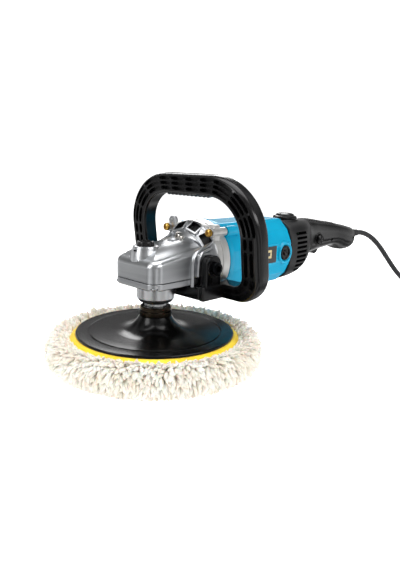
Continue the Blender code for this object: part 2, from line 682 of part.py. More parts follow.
def motor_housing():
    start = RING_REAR + GAP
    body = housing_prism("motor_housing", 0.0, start + 6.0, HOUSING_REAR)
    modifier = body.modifiers.new("bevel", "BEVEL")
    modifier.width = 2.4 * MM
    modifier.segments = 1
    modifier.limit_method = "ANGLE"
    modifier.angle_limit = radians(20)
    join(body, eared_flange("housing_flange", start, 84.0))
    for side in (-1, 1):
        ends = sorted((side * 33.0, side * 43.0))
        join(body, rod(f"brush_boss_{side}", 13.4, ends[0], ends[1], (BRUSH_X, MOTOR_Z), "Y", 20))
    cut(body, rod("field_bore", FIELD_RADIUS + 0.4, 60.0, HOUSING_REAR - 4, (0, MOTOR_Z), "X", 28))
    cut(body, rod("fan_clearance", 37.0, 60.0, 78.0, (0, MOTOR_Z), "X", 28))
    cut(body, rod("rear_bearing_seat", 11.2, HOUSING_REAR - 10, HOUSING_REAR + 10, (0, MOTOR_Z), "X", 20))
    for i in range(6):
        a = 2 * pi * (i + 0.5) / 6
        y, z = 24.0 * cos(a), MOTOR_Z + 24.0 * sin(a)
        cut(body, rod(f"air_way_{i}", 8.0, HOUSING_REAR - 10, HOUSING_REAR + 10, (y, z), "X", 8))
    for i, (y, z) in enumerate(ear_places()):
        cut(body, rod(f"housing_thread_{i}", 2.4, 60.0, 88.0, (y, z), "X", 8))
    for side in (-1, 1):
        ends = sorted((side * 30.0, side * 50.0))
        cut(body, rod(f"cap_bore_{side}", CAP_RADIUS + GAP, ends[0], ends[1], (BRUSH_X, MOTOR_Z), "Y", 20))
    return finish(body, BLUE)


def flange_screws():
    for i, (y, z) in enumerate(ear_places()):
        screw = screw_solid(f"flange_screw_{i + 1}", 4.4, 2.1, 41.6, 45.7, 86.0, (y, z), "X")
        finish(screw, BRASS)


def brush_gear():
    for side, word in ((-1, "right"), (1, "left")):
        a, b = sorted((side * 17.0, side * 37.4))
        finish(ring(f"brush_holder_{word}", 7.4, 5.0, a, b, (BRUSH_X, MOTOR_Z), "Y", 20), BRASS)
        a, b = sorted((side * 13.4, side * 32.0))
        brush = box(f"carbon_brush_{word}", (BRUSH_X - 3.2, a, MOTOR_Z - 3.2), (BRUSH_X + 3.2, b, MOTOR_Z + 3.2))
        finish(brush, CARBON)
        r = CAP_RADIUS
        profile = [(0, 42.2), (2.6, 42.2), (2.6, 43.6), (r - 1.2, 43.6), (r, 42.4), (r, 37.8), (0, 37.8)]
        if side < 0:
            profile = [(radius, -h) for radius, h in reversed(profile)]
        finish(turned(f"brush_cap_{word}", profile, (BRUSH_X, 0, MOTOR_Z), "Y", 20), BLACK)


def nameplates():
    for side, word in ((-1, "right"), (1, "left")):
        inner = HOUSING_HALF_WIDTH + GAP
        ends = sorted((side * inner, side * (inner + 0.7)))
        plate = box(f"nameplate_{word}", (96.0, ends[0], 95.0), (158.0, ends[1], 115.0))
        finish(plate, BLACK)


# ---- rear housing and handle ------------------------------------------------------
def rear_sections(shrink=0.0, reach=0.0):
    """Sections of the rear housing, with low and high counted from the motor's axis."""
    start = HOUSING_REAR + GAP - reach
    length = HANDLE_FRONT - GAP + reach - start
    rows = (
        (0.0, 40.3, -39.8, 39.8), (0.136, 40.0, -39.4, 36.5), (0.332, 39.4, -38.0, 35.0), (0.542, 38.0, -34.5, 35.0),
        (0.724, 34.5, -27.5, 35.0), (0.864, 29.5, -20.5, 34.6), (1.0, 24.0, -15.0, 34.0),
    )
    s = shrink
    return [oval(start + length * t, w - s, MOTOR_Z + low + s, MOTOR_Z + high - s, 3.0) for t, w, low, high in rows]


def handle_sections(shrink=0.0):
    """Sections of the grip. A shrunk set is open at the joint and stops short of the rear end."""
    start = HANDLE_FRONT - (2.0 if shrink else 0.0)
    length = HANDLE_REAR - start - shrink * 1.4
    rows = (
        (0.0, 23.4, -14.6, 33.8), (0.070, 21.6, -15.4, 33.6), (0.155, 20.4, -15.4, 32.6), (0.268, 19.0, -13.4, 30.2),
        (0.408, 18.0, -11.6, 27.4), (0.556, 17.8, -10.4, 24.6), (0.662, 18.4, -13.0, 22.4), (0.746, 19.0, -17.4, 20.6),
        (0.831, 19.2, -19.6, 18.6), (0.915, 18.6, -19.0, 16.0), (0.972, 16.6, -16.4, 14.6), (1.0, 13.6, -12.4, 12.2),
    )
    s = shrink
    return [oval(start + length * t, w - s, MOTOR_Z + low + s, MOTOR_Z + high - s, 2.5) for t, w, low, high in rows]


def rear_housing():
    body = loft("rear_housing", rear_sections())
    cut(body, loft("rear_hollow", rear_sections(SHELL_WALL, 0.6)))
    pitch = 5.9
    for i in range(LOUVRES):
        z = MOTOR_Z + 20.5 - pitch * i
        slot = box(f"louvre_{i}", (HOUSING_REAR + 15.5, -60, z - 1.6), (HOUSING_REAR + 41.5, 60, z + 1.6))
        cut(body, slot)
    cut(body, rod("dial_hole", 3.4, HANDLE_TOP - 20, HANDLE_TOP + 10, (DIAL_X, 0), steps=16))
    return finish(body, BLACK)


def speed_dial():
    r = DIAL_RADIUS
    top = HANDLE_TOP
    base = top + GAP
    profile = [
        (0, top + 8.4), (7.0, top + 8.0), (12.0, top + 6.6), (r - 1.0, top + 4.4), (r, top + 3.0), (r, base), (3.0, base),
        (3.0, top - 5.6), (0, top - 5.6),
    ]
    dial = turned("speed_dial", profile, (DIAL_X, 0, 0), steps=24)
    finish(dial, BLACK)
    unit = box("speed_control_unit", (DIAL_X - 17, -14, top - 20), (DIAL_X + 17, 14, top - 6), 1.0, 1)
    finish(unit, BLACK)


def handle_shell(word, side):
    """One half of the grip. side is +1 for the left half, at +Y."""
    shell = loft(f"handle_shell_{word}", handle_sections())
    cut(shell, loft(f"handle_hollow_{word}", handle_sections(SHELL_WALL)))
    ends = sorted((-side * 80.0, side * GAP / 2))
    half = box(f"half_plane_{word}", (HANDLE_FRONT - 20, ends[0], 60), (HANDLE_REAR + 20, ends[1], MOTOR_Z + 60))
    cut(shell, half)
    x, z = TRIGGER_HINGE_X, TRIGGER_HINGE_Z
    cut(shell, box(f"trigger_slot_{word}", (x - 3.0, -7.6, z - 17.0), (x + 29.5, 7.6, z + 4.0)))
    cut(shell, rod(f"guard_hole_{word}", 6.6, HANDLE_REAR - 14, HANDLE_REAR + 16, (0, CORD_Z), "X", 20))
    if side < 0:
        cut(shell, rod("lock_on_hole", 6.9, -40.0, -8.0, (LOCK_ON_X, LOCK_ON_Z), "Y", 20))
    return finish(shell, BLACK)


def trigger_outline():
    """Side view of the paddle, as (x, z) about its hinge."""
    return [
        (-2.2, 1.6), (2.0, 3.0), (24.0, 3.6), (27.0, 2.2), (26.4, -4.0),
        (22.0, -9.2), (17.0, -10.4), (12.0, -9.0), (6.0, -6.2), (-1.6, -3.6),
    ]


def controls():
    x, z = TRIGGER_HINGE_X, TRIGGER_HINGE_Z
    turn = Matrix.Translation((x * MM, 0, z * MM)) @ Matrix.Rotation(pi / 2, 4, "X")
    trigger = slab("trigger", trigger_outline(), 14.4, turn, 0.8)
    finish(trigger, BLACK)
    spring = ring("trigger_spring", 2.4, 1.4, z + 4.2, z + 6.4, (x + 19.0, 0), steps=12)
    finish(spring, STEEL)
    switch = box("switch_body", (x - 1.0, -9.5, z + 6.8), (x + 38.0, 9.5, z + 25.0), 1.0, 1)
    finish(switch, BLACK)
    profile = [(0, -14.0), (5.0, -14.0), (5.0, -17.0), (6.5, -17.6), (6.5, -24.6), (5.4, -25.6), (0, -25.8)]
    button = turned("lock_on_button", profile, (LOCK_ON_X, 0, LOCK_ON_Z), "Y", 24)
    finish(button, BLACK)


# ---- lead ---------------------------------------------------------------------------
def cord_guard():
    end = GUARD_END
    profile = [(5.0, end), (5.7, end - 4)]
    for i in range(3):
        x = end - 8 - i * 6.0
        profile += [(5.9, x + 1.2), (5.1, x + 0.8), (5.1, x - 0.8), (6.0, x - 1.2)]
    profile += [(6.2, HANDLE_REAR - 10), (7.6, HANDLE_REAR - 10.4), (7.6, HANDLE_REAR - 12.8), (0, HANDLE_REAR - 12.8)]
    profile = [(0, end)] + profile
    return finish(turned("cord_guard", profile, (0, 0, CORD_Z), "X", 12), RUBBER)


def spline_points(route, spacing):
    """Evenly spaced points on a smooth curve through a route, in millimetres."""
    points = [Vector(p) for p in route]
    dense = []
    for i in range(len(points) - 1):
        before = points[max(i - 1, 0)]
        after = points[min(i + 2, len(points) - 1)]
        a, b = points[i], points[i + 1]
        for k in range(12):
            t = k / 12
            dense.append(
                0.5 * ((2 * a) + (b - before) * t + (2 * before - 5 * a + 4 * b - after) * t * t
                       + (3 * a - before - 3 * b + after) * t ** 3)
            )
    dense.append(points[-1])
    kept = [dense[0]]
    run = 0.0
    for first, second in zip(dense, dense[1:]):
        run += (second - first).length
        if run >= spacing:
            kept.append(second)
            run = 0.0
    if (kept[-1] - dense[-1]).length > spacing / 2:
        kept.append(dense[-1])
    else:
        kept[-1] = dense[-1]
    return kept


def power_cord():
    curve = bpy.data.curves.new("power_cord", "CURVE")
    curve.dimensions = "3D"
    curve.bevel_depth = CORD_DIAMETER / 2 * MM
    curve.bevel_resolution = 2
    curve.use_fill_caps = True
    route = [(GUARD_END + x, y, z) for x, y, z in CORD_ROUTE]
    points = spline_points(route, CORD_DIAMETER * 2)
    spline = curve.splines.new("POLY")
    spline.points.add(len(points) - 1)
    for slot, point in zip(spline.points, points):
        slot.co = (*(point * MM), 1.0)
    cord = place("power_cord", curve)
    curve.materials.append(RUBBER)
    return cord


def cord_coil():
    half = COIL_TURNS_WIDE * CORD_DIAMETER / 2
    top = COIL_TURNS_WIDE * CORD_DIAMETER
    r = COIL_RADIUS
    c = 3.0
    profile = [
        (r + half - c, top), (r + half, top - c), (r + half, c), (r + half - c, 0.3), (r - half + c, 0.3), (r - half, c),
        (r - half, top - c), (r - half + c, top),
    ]
    return finish(turned("cord_coil", profile, (*COIL_CENTRE, 0), steps=24), RUBBER)


def mains_plug():
    """Two-pin plug lying beside the coil, its pins pointing along -X."""
    x = COIL_CENTRE[0] + 20.0
    y = COIL_CENTRE[1] - COIL_RADIUS - COIL_TURNS_WIDE * CORD_DIAMETER / 2 - 22.0
    z = 18.6
    profile = [
        (0, 40.0), (16.5, 40.0), (18.3, 38.0), (18.3, 22.0), (14.0, 10.0), (7.5, 0.0), (5.4, -14.0), (0, -14.0),
    ]
    plug = turned("mains_plug", [(radius, -h) for radius, h in reversed(profile)], (x, y, z), "X", 16)
    for side in (-1, 1):
        pin = [(0, -36.0), (2.4, -36.0), (2.4, -57.6), (1.4, -59.0), (0, -59.0)]
        join(plug, turned(f"plug_pin_{side}", pin, (x, y + side * 9.5, z), "X", 12))
    return finish(plug, BLACK)


# ---- loop handle ------------------------------------------------------------------
def arch_outline(inset_side, inset_top, inset_low, corner_top, corner_low):
    """Upright outline of the loop as (y, z), from the arms round over the top."""
    w = LOOP_HALF_WIDTH - inset_side
    top = LOOP_TOP - inset_top
    low = LOOP_BOTTOM + inset_low
    rt, rl = corner_top, corner_low
    points = arc((w - rl, low + rl), rl, 270, 360, 7) + arc((w - rt, top - rt), rt, 0, 90, 10)
    return points + [(-y, z) for y, z in reversed(points)]


def loop_handle():
    lean = radians(LOOP_LEAN)
    frame = (
        Matrix.Translation((LOOP_X * MM, 0, LOOP_BOTTOM * MM))
        @ Matrix.Rotation(-lean, 4, "Y")
        @ Matrix.Translation((0, 0, -LOOP_BOTTOM * MM))
        @ Matrix.Rotation(pi / 2, 4, "Z")
        @ Matrix.Rotation(pi / 2, 4, "X")
    )
    outer = arch_outline(0.0, 0.0, 0.0, LOOP_TOP_CORNER, LOOP_LOW_CORNER)
    inner = arch_outline(LOOP_BAR, LOOP_TOP_BAR, LOOP_ARM, LOOP_TOP_CORNER - 23.0, LOOP_LOW_CORNER - 20.0)
    loop = slab("loop_handle", outer, LOOP_DEPTH, frame, 4.5)
    opening = slab("loop_opening", inner, LOOP_DEPTH * 2, frame)
    cut(loop, opening)
    # The arms stop at the lugs, and the drum of the gear housing passes between them.
    cut(loop, box("arm_gap", (40, -ARM_INNER, 40), (90, ARM_INNER, 90)))
    for side in (-1, 1):
        a, b = sorted((side * ARM_INNER, side * LUG_REACH))
        join(loop, box(f"lug_foot_{side}", (25, a, LOOP_BOTTOM + 1), (72, b, 83.0), 1.5, 1))
        a, b = sorted((side * (LUG_REACH - LUG_THICKNESS), side * LUG_REACH))
        join(loop, box(f"lug_{side}", (25, a, 79), (50.4, b, 116), 1.5, 1))
    join(loop, box("saddle", (24, -41, LOOP_BOTTOM + 1), (40, 41, 83.0), 1.5, 1))
    wide = FAN_CASE_RADIUS + 0.6
    cone = [(0, 52.0), (wide, 52.0), (wide, FAN_CASE_FRONT - 0.4), (31.5, 39.8), (0, 39.8)]
    cut(loop, turned("drum_clearance", cone, (0, 0, MOTOR_Z), "X", 28))
    for side in (-1, 1):
        a, b = sorted((side * 30.0, side * 60.0))
        cut(loop, rod(f"lug_hole_{side}", 4.6, a, b, (BOLT_X, BOLT_Z), "Y", 16))
    return finish(loop, BLACK)


def loop_bolts():
    for side, word in ((-1, "right"), (1, "left")):
        seat = LUG_REACH + GAP
        profile = [
            (0, seat + 3.0), (3.6, seat + 3.0), (3.6, seat + 7.6), (6.9, seat + 7.6), (7.6, seat + 6.8), (7.6, seat),
            (4.0, seat), (4.0, 28.0), (0, 28.0),
        ]
        if side < 0:
            profile = [(radius, -h) for radius, h in reversed(profile)]
        finish(turned(f"loop_bolt_{word}", profile, (BOLT_X, 0, BOLT_Z), "Y", 16), DARK_STEEL)


def build():
    wool_pad()
    foam_disc()
    backing_plate()
    plate_insert()
    spindle()
    spindle_gear()
    spindle_bearings()
    gear_case_cover()
    gear_housing()
    intermediate_shaft()
    bevel_ring_gear()
    intermediate_bearings()
    shaft_lock()
    armature()
    cooling_fan()
    field_and_baffle()
    motor_housing()
    flange_screws()
    brush_gear()
    nameplates()
    rear_housing()
    speed_dial()
    handle_shell("left", 1)
    handle_shell("right", -1)
    controls()
    cord_guard()
    power_cord()
    cord_coil()
    mains_plug()
    loop_handle()
    loop_bolts()


build()
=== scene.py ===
# Rotary polisher with a wool pad: the visible pieces and finishes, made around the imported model.
import math
import random

import bpy
from mathutils import Matrix, Vector


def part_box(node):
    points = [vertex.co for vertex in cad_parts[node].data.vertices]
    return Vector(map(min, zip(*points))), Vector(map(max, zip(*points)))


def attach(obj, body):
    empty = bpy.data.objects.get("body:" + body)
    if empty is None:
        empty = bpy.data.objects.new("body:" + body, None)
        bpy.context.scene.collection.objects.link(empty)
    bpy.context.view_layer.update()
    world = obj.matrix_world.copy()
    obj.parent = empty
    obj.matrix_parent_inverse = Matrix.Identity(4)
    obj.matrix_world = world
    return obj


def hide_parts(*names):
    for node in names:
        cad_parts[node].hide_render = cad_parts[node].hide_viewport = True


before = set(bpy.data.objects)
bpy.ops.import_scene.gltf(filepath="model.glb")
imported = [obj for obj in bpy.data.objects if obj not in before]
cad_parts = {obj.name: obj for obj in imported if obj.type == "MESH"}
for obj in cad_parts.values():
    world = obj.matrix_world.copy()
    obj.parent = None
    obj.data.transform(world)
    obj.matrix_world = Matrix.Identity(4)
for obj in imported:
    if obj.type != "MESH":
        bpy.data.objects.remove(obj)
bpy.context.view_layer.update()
mm = 0.001
fullTurn = 2 * math.pi

# Millimetres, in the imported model's frame: x runs back from the spindle, z up from the pad's face.
motorHeight = 105
lockX = -14.7
bolt = (42, 102)
brushX = 176
dialX = 230
triggerPin = (284, 97)
buttonPlace = (288, 110.5)
cordHeight = 107
sides = {-1: "Right", 1: "Left"}


def clearSelection():
    if bpy.context.object and bpy.context.object.mode != "OBJECT":
        bpy.ops.object.mode_set(mode="OBJECT")
    bpy.ops.object.select_all(action="DESELECT")


def makeActive(piece):
    clearSelection()
    piece.select_set(True)
    bpy.context.view_layer.objects.active = piece


def editing(piece, *steps):
    # each step is run on the whole piece in edit mode
    makeActive(piece)
    bpy.ops.object.mode_set(mode="EDIT")
    for step in steps:
        bpy.ops.mesh.select_all(action="SELECT")
        step()
    bpy.ops.object.mode_set(mode="OBJECT")
    return piece


def faceOutwards(piece):
    return editing(
        piece,
        lambda: bpy.ops.mesh.remove_doubles(threshold=2e-6),
        lambda: bpy.ops.mesh.delete_loose(use_verts=True, use_edges=True, use_faces=False),
        lambda: bpy.ops.mesh.normals_make_consistent(inside=False))


def placed(piece, matrix):
    piece.data.transform(matrix)
    return faceOutwards(piece)


def outlinePiece(name, outline, filled=True):
    # a ring of points becomes the given outline, lying in XY
    clearSelection()
    bpy.ops.mesh.primitive_circle_add(vertices=len(outline), radius=1,
                                      fill_type="NGON" if filled else "NOTHING")
    piece = bpy.context.object
    piece.name = name
    for vert, (a, b) in zip(piece.data.vertices, outline):
        vert.co = (a * mm, b * mm, 0)
    return piece


# where a flat outline's (a, b) and its extrusion go: along z, x or y
alongZ = Matrix.Identity(4)
alongX = Matrix(((0, 0, 1, 0), (1, 0, 0, 0), (0, 1, 0, 0), (0, 0, 0, 1)))
alongY = Matrix(((1, 0, 0, 0), (0, 0, 1, 0), (0, 1, 0, 0), (0, 0, 0, 1)))


def prism(name, outline, low, high, direction=alongZ):
    piece = outlinePiece(name, outline)
    piece.data.transform(Matrix.Translation((0, 0, low * mm)))
    editing(piece, lambda: bpy.ops.mesh.extrude_region_move(
        TRANSFORM_OT_translate={"value": (0, 0, (high - low) * mm)}))
    return placed(piece, direction)


def turned(name, profile, steps=96, matrix=None):
    # (radius, height) is spun round the axis, as on a lathe
    piece = outlinePiece(name, profile, filled=False)
    piece.data.transform(alongY)
    editing(piece, lambda: bpy.ops.mesh.spin(
        steps=steps, angle=fullTurn, center=(0, 0, 0), axis=(0, 0, 1)))
    return placed(piece, matrix or alongZ)


def wrapped(name, rings, closedRing=True, capped=True):
    # rings of points, one behind the other, joined by a skin
    clearSelection()
    across = len(rings[0])
    bpy.ops.mesh.primitive_grid_add(x_subdivisions=across - (0 if closedRing else 1),
                                    y_subdivisions=len(rings) - 1, size=1)
    piece = bpy.context.object
    piece.name = name
    columns = across + 1 if closedRing else across
    for number, vert in enumerate(piece.data.vertices):
        row, column = divmod(number, columns)
        vert.co = Vector(rings[row][column % across]) * mm
    faceOutwards(piece)
    if capped:
        makeActive(piece)
        bpy.ops.object.mode_set(mode="EDIT")
        bpy.ops.mesh.select_all(action="DESELECT")
        bpy.ops.mesh.select_mode(type="EDGE")
        bpy.ops.mesh.select_non_manifold(extend=False, use_wire=False, use_boundary=True,
                                         use_multi_face=False, use_non_contiguous=False,
                                         use_verts=False)
        bpy.ops.mesh.fill_holes(sides=0)
        bpy.ops.mesh.select_mode(type="VERT")
        bpy.ops.object.mode_set(mode="OBJECT")
        faceOutwards(piece)
    return piece


def block(name, low, high, edge=0.0, segments=3):
    clearSelection()
    bpy.ops.mesh.primitive_cube_add(size=1)
    piece = bpy.context.object
    piece.name = name
    size = [(h - l) * mm for l, h in zip(low, high)]
    centre = [(h + l) / 2 * mm for l, h in zip(low, high)]
    editing(piece, lambda: bpy.ops.transform.resize(value=size),
            lambda: bpy.ops.transform.translate(value=centre))
    if edge:
        editing(piece, lambda: bpy.ops.mesh.bevel(offset=edge * mm, segments=segments,
                                                  affect="EDGES"))
    return piece


def sideBlock(name, side, low, high, edge=0.0, segments=3):
    # the y of low and high is for the left, and side is -1 for the right
    near, far = sorted((side * low[1], side * high[1]))
    return block(name, (low[0], near, low[2]), (high[0], far, high[2]), edge, segments)


def rod(name, start, end, radius, endRadius=None, sides=32, edge=0.0):
    # a turned bar from start to end, with softened ends
    start, end = Vector(start) * mm, Vector(end) * mm
    clearSelection()
    bpy.ops.mesh.primitive_cone_add(
        vertices=sides, radius1=radius * mm,
        radius2=(radius if endRadius is None else endRadius) * mm,
        depth=(end - start).length)
    piece = bpy.context.object
    piece.name = name
    if edge:
        soften(piece, edge, 60, 2)
    turn = (end - start).to_track_quat("Z", "Y").to_matrix().to_4x4()
    return placed(piece, Matrix.Translation((start + end) / 2) @ turn)


def soften(piece, width, angle=40, segments=2):
    makeActive(piece)
    edges = piece.modifiers.new("edges", "BEVEL")
    edges.width = width * mm
    edges.segments = segments
    edges.limit_method = "ANGLE"
    edges.angle_limit = math.radians(angle)
    edges.use_clamp_overlap = True
    bpy.ops.object.modifier_apply(modifier=edges.name)
    return piece


def cutWith(piece, tool, operation="DIFFERENCE"):
    before = piece.data.copy()
    for solver in ("EXACT", "FAST"):
        makeActive(piece)
        change = piece.modifiers.new("change", "BOOLEAN")
        change.operation = operation
        change.solver = solver
        change.object = tool
        bpy.ops.object.modifier_apply(modifier=change.name)
        if len(piece.data.vertices) > 8:
            break
        # the exact way found nothing, as it can where faces coincide
        print("second way for", tool.name, "on", piece.name)
        piece.data = before.copy()
    bpy.data.objects.remove(tool)
    return piece


def weldOn(piece, *others):
    for other in others:
        cutWith(piece, other, "UNION")
    return piece


def together(name, pieces):
    clearSelection()
    for piece in pieces:
        piece.select_set(True)
    bpy.context.view_layer.objects.active = pieces[0]
    if len(pieces) > 1:
        bpy.ops.object.join()
    pieces[0].name = name
    return pieces[0]


def copied(piece, matrix, name=None):
    other = piece.copy()
    other.data = piece.data.copy()
    bpy.context.scene.collection.objects.link(other)
    if name:
        other.name = name
    if matrix.determinant() < 0:
        return placed(other, matrix)
    other.data.transform(matrix)
    return other


def finished(piece, body, materials, replaced=(), smooth=32, paint=()):
    makeActive(piece)
    piece.data.materials.clear()
    for material in materials:
        piece.data.materials.append(material)
    for index, test in paint:
        for face in piece.data.polygons:
            if test(face.center / mm, face.normal):
                face.material_index = index
    if smooth:
        bpy.ops.object.shade_smooth_by_angle(angle=math.radians(smooth))
        # broad faces keep flat, and the roundings between them take the turn
        even = piece.modifiers.new("even", "WEIGHTED_NORMAL")
        even.keep_sharp = True
        bpy.ops.object.modifier_apply(modifier=even.name)
    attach(piece, body)
    if replaced:
        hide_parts(*replaced)
    return piece


def rounded(corners, steps=6):
    # corners are (a, b, radius); each one becomes an arc
    points = []
    for number, (a, b, radius) in enumerate(corners):
        here = Vector((a, b))
        back = Vector(corners[number - 1][:2]) - here
        ahead = Vector(corners[(number + 1) % len(corners)][:2]) - here
        if radius <= 0:
            points.append((a, b))
            continue
        half = back.angle(ahead) / 2
        reach = min(radius / math.tan(half), 0.499 * back.length, 0.499 * ahead.length)
        real = reach * math.tan(half)
        start = here + back.normalized() * reach
        end = here + ahead.normalized() * reach
        inwards = (back.normalized() + ahead.normalized()).normalized()
        middle = here + inwards * real / math.sin(half)
        low = math.atan2(start.y - middle.y, start.x - middle.x)
        sweep = math.atan2(end.y - middle.y, end.x - middle.x) - low
        sweep = (sweep + math.pi) % fullTurn - math.pi
        for step in range(steps + 1):
            angle = low + sweep * step / steps
            points.append((middle.x + real * math.cos(angle), middle.y + real * math.sin(angle)))
    return points


def between(low, high, share):
    return low + (high - low) * share


cameraPlan = {
    "place": (-0.36433, -0.41097, 0.20988),
    "forward": (0.70637, 0.67100, -0.22538),
    "rollDegrees": 1.809,
    "lens": 33.27,
}
cameraData = bpy.data.cameras.new("camera")
camera = bpy.data.objects.new("camera", cameraData)
bpy.context.scene.collection.objects.link(camera)
camera.location = cameraPlan["place"]
camera.rotation_mode = "QUATERNION"
aim = Vector(cameraPlan["forward"]).to_track_quat("-Z", "Y").to_matrix()
camera.rotation_quaternion = (
    aim @ Matrix.Rotation(math.radians(cameraPlan["rollDegrees"]), 3, "Z")).to_quaternion()
cameraData.lens = cameraPlan["lens"]
cameraData.sensor_width = 36
cameraData.clip_start = 0.01
cameraData.clip_end = 100
bpy.context.scene.camera = camera
print("camera set")


# Finishes: sizes in millimetres, colours as sRGB.
def linear(hexColour):
    # sRGB hex to the linear colour that a shader works in
    parts = [int(hexColour[place:place + 2], 16) / 255 for place in (1, 3, 5)]
    return (*[p / 12.92 if p <= 0.04045 else ((p + 0.055) / 1.055) ** 2.4 for p in parts], 1)


def addNode(tree, kind, settings=None, links=None):
    # a setting is a property of the node, or a socket by its name or number
    node = tree.nodes.new(kind)
    for key, value in (settings or {}).items():
        if isinstance(key, int) or key in node.inputs:
            node.inputs[key].default_value = value
        else:
            setattr(node, key, value)
    for key, source in (links or {}).items():
        tree.links.new(source, node.inputs[key])
    return node


def newMaterial(name, constants):
    material = bpy.data.materials.new(name)
    material.use_nodes = True
    shader = material.node_tree.nodes["Principled BSDF"]
    for key, value in constants.items():
        shader.inputs[key].default_value = value
    return material, material.node_tree, shader


def ramp(tree, source, low, high, lowColour, highColour):
    node = addNode(tree, "ShaderNodeValToRGB", links={0: source})
    node.color_ramp.elements[0].position = low
    node.color_ramp.elements[1].position = high
    node.color_ramp.elements[0].color = lowColour
    node.color_ramp.elements[1].color = highColour
    return node.outputs["Color"]


def grey(value):
    return (value, value, value, 1)


def surface(name, base, worn, gloss, patternMm, grainMm, grainDepthMm,
            stretch=(1, 1, 1), constants=None):
    # broad cloudiness in the colour and gloss, and a fine relief: sizes in millimetres
    material, tree, shader = newMaterial(name, constants or {})
    place = addNode(tree, "ShaderNodeTexCoord").outputs["Object"]
    drawn = addNode(tree, "ShaderNodeMapping", {"Scale": stretch}, {"Vector": place}).outputs[0]
    cloud = addNode(tree, "ShaderNodeTexNoise", {"Scale": 1 / (patternMm * mm), "Detail": 4.0},
                    {"Vector": drawn}).outputs[0]
    grain = addNode(tree, "ShaderNodeTexNoise", {"Scale": 1 / (grainMm * mm), "Detail": 2.0},
                    {"Vector": drawn}).outputs[0]
    tree.links.new(ramp(tree, cloud, 0.35, 0.7, linear(base), linear(worn)),
                   shader.inputs["Base Color"])
    tree.links.new(addNode(tree, "ShaderNodeMapRange", {"To Min": gloss[0], "To Max": gloss[1]},
                           {"Value": cloud}).outputs[0], shader.inputs["Roughness"])
    tree.links.new(addNode(tree, "ShaderNodeBump",
                           {"Strength": 0.6, "Distance": grainDepthMm * mm},
                           {"Height": grain}).outputs[0], shader.inputs["Normal"])
    return material


def metal(*plan, stretch=(1, 1, 1)):
    return surface(*plan, stretch=stretch, constants={"Metallic": 1.0})


# Die-cast aluminium, vibratory polished: a bright soft mirror with faint waviness.
polishedCasting = metal(
    "polished_cast_aluminium", "#B9BBBE", "#CBCDCF", (0.24, 0.34), 34, 2.6, 0.02)
# Cast aluminium, belt brushed on its sides: fine drawn lines along the head.
brushedCasting = metal(
    "brushed_cast_aluminium", "#B4B6B9", "#C6C8CA", (0.26, 0.36), 12, 1.4, 0.03,
    stretch=(0.12, 0.12, 1.6))
# Turned aluminium band: a satin lathe finish with lines round the barrel.
turnedBand = metal(
    "turned_aluminium_band", "#D6D6D4", "#E6E5E2", (0.30, 0.42), 8, 1.0, 0.02,
    stretch=(1.8, 0.15, 0.15))
# Steel, black-chrome plated: nearly black with a warm mirror glint.
blackChrome = metal(
    "black_chrome_plate", "#26221E", "#3A332B", (0.10, 0.18), 14, 1.5, 0.01)
# Alloy steel bolt, blackened in hot oil: satin black with a faint blue cast.
blackenedSteel = metal(
    "blackened_steel", "#17181A", "#232427", (0.26, 0.36), 6, 0.7, 0.01)
# Zinc plated and yellow-passivated screws: a brassy sheen with cloudy patches.
yellowZinc = metal(
    "yellow_passivated_zinc", "#B98A3A", "#DDB865", (0.22, 0.38), 3, 0.5, 0.01)
# Ground bearing and shaft steel: bright, with faint marks round the axis.
groundSteel = metal(
    "ground_steel", "#9A9C9E", "#B4B6B8", (0.20, 0.34), 6, 0.6, 0.006)
# Hardened and oiled gear steel: dark grey with a thin oily gloss.
oiledSteel = surface(
    "oiled_gear_steel", "#4B4B4D", "#636366", (0.28, 0.42), 7, 0.8, 0.01,
    constants={"Metallic": 1.0, "Coat Weight": 0.3, "Coat Roughness": 0.2})
# Electrical steel laminations, varnished: dull grey-brown.
laminatedSteel = surface(
    "varnished_laminations", "#57534E", "#6A655E", (0.40, 0.55), 9, 0.7, 0.02,
    stretch=(2.5, 0.3, 0.3), constants={"Metallic": 0.9})
# Drawn brass: warm yellow with a soft tarnish.
drawnBrass = metal(
    "drawn_brass", "#C29A4E", "#A9803B", (0.22, 0.36), 8, 0.7, 0.01)
# Commutator copper: bare, with darker tracks round it where the brushes run.
wornCopper = metal(
    "commutator_copper", "#A55B36", "#C27B54", (0.25, 0.45), 3, 0.6, 0.01, stretch=(3, 0.2, 0.2))
# Nylon with glass fibre, moulded in colour against a polished tool: clear gloss, faint orange peel.
blueNylon = surface(
    "blue_moulded_nylon", "#008DB2", "#0096BA", (0.20, 0.30), 45, 3.5, 0.015,
    constants={"IOR": 1.48, "Specular IOR Level": 0.32})
# The same nylon in black, high gloss: deep black with sharp highlights.
glossBlack = surface(
    "gloss_black_nylon", "#060607", "#0C0C0D", (0.16, 0.26), 40, 3.0, 0.02,
    constants={"IOR": 1.48, "Specular IOR Level": 0.42})
# Black nylon moulded in a spark-eroded tool: an even fine grain that spreads its shine.
satinBlack = surface(
    "spark_grain_black_nylon", "#0B0B0C", "#131315", (0.32, 0.44), 30, 0.9, 0.05,
    constants={"IOR": 1.48, "Specular IOR Level": 0.4})
# Compression-moulded polyurethane backing: glossy black, slightly oily to the eye.
plateBlack = surface(
    "gloss_black_polyurethane", "#040404", "#090909", (0.16, 0.24), 55, 4.0, 0.02,
    constants={"IOR": 1.48, "Specular IOR Level": 0.3})
# Cord rubber, extruded: matt black that greys a little where it is handled.
mattRubber = surface(
    "extruded_black_rubber", "#18181A", "#242426", (0.50, 0.64), 16, 0.7, 0.02,
    constants={"IOR": 1.52})
# Nickel-plated clip: a small bright mirror.
nickelClip = metal(
    "nickel_plated_clip", "#C9C5BE", "#E0DCD5", (0.12, 0.22), 5, 0.6, 0.005)
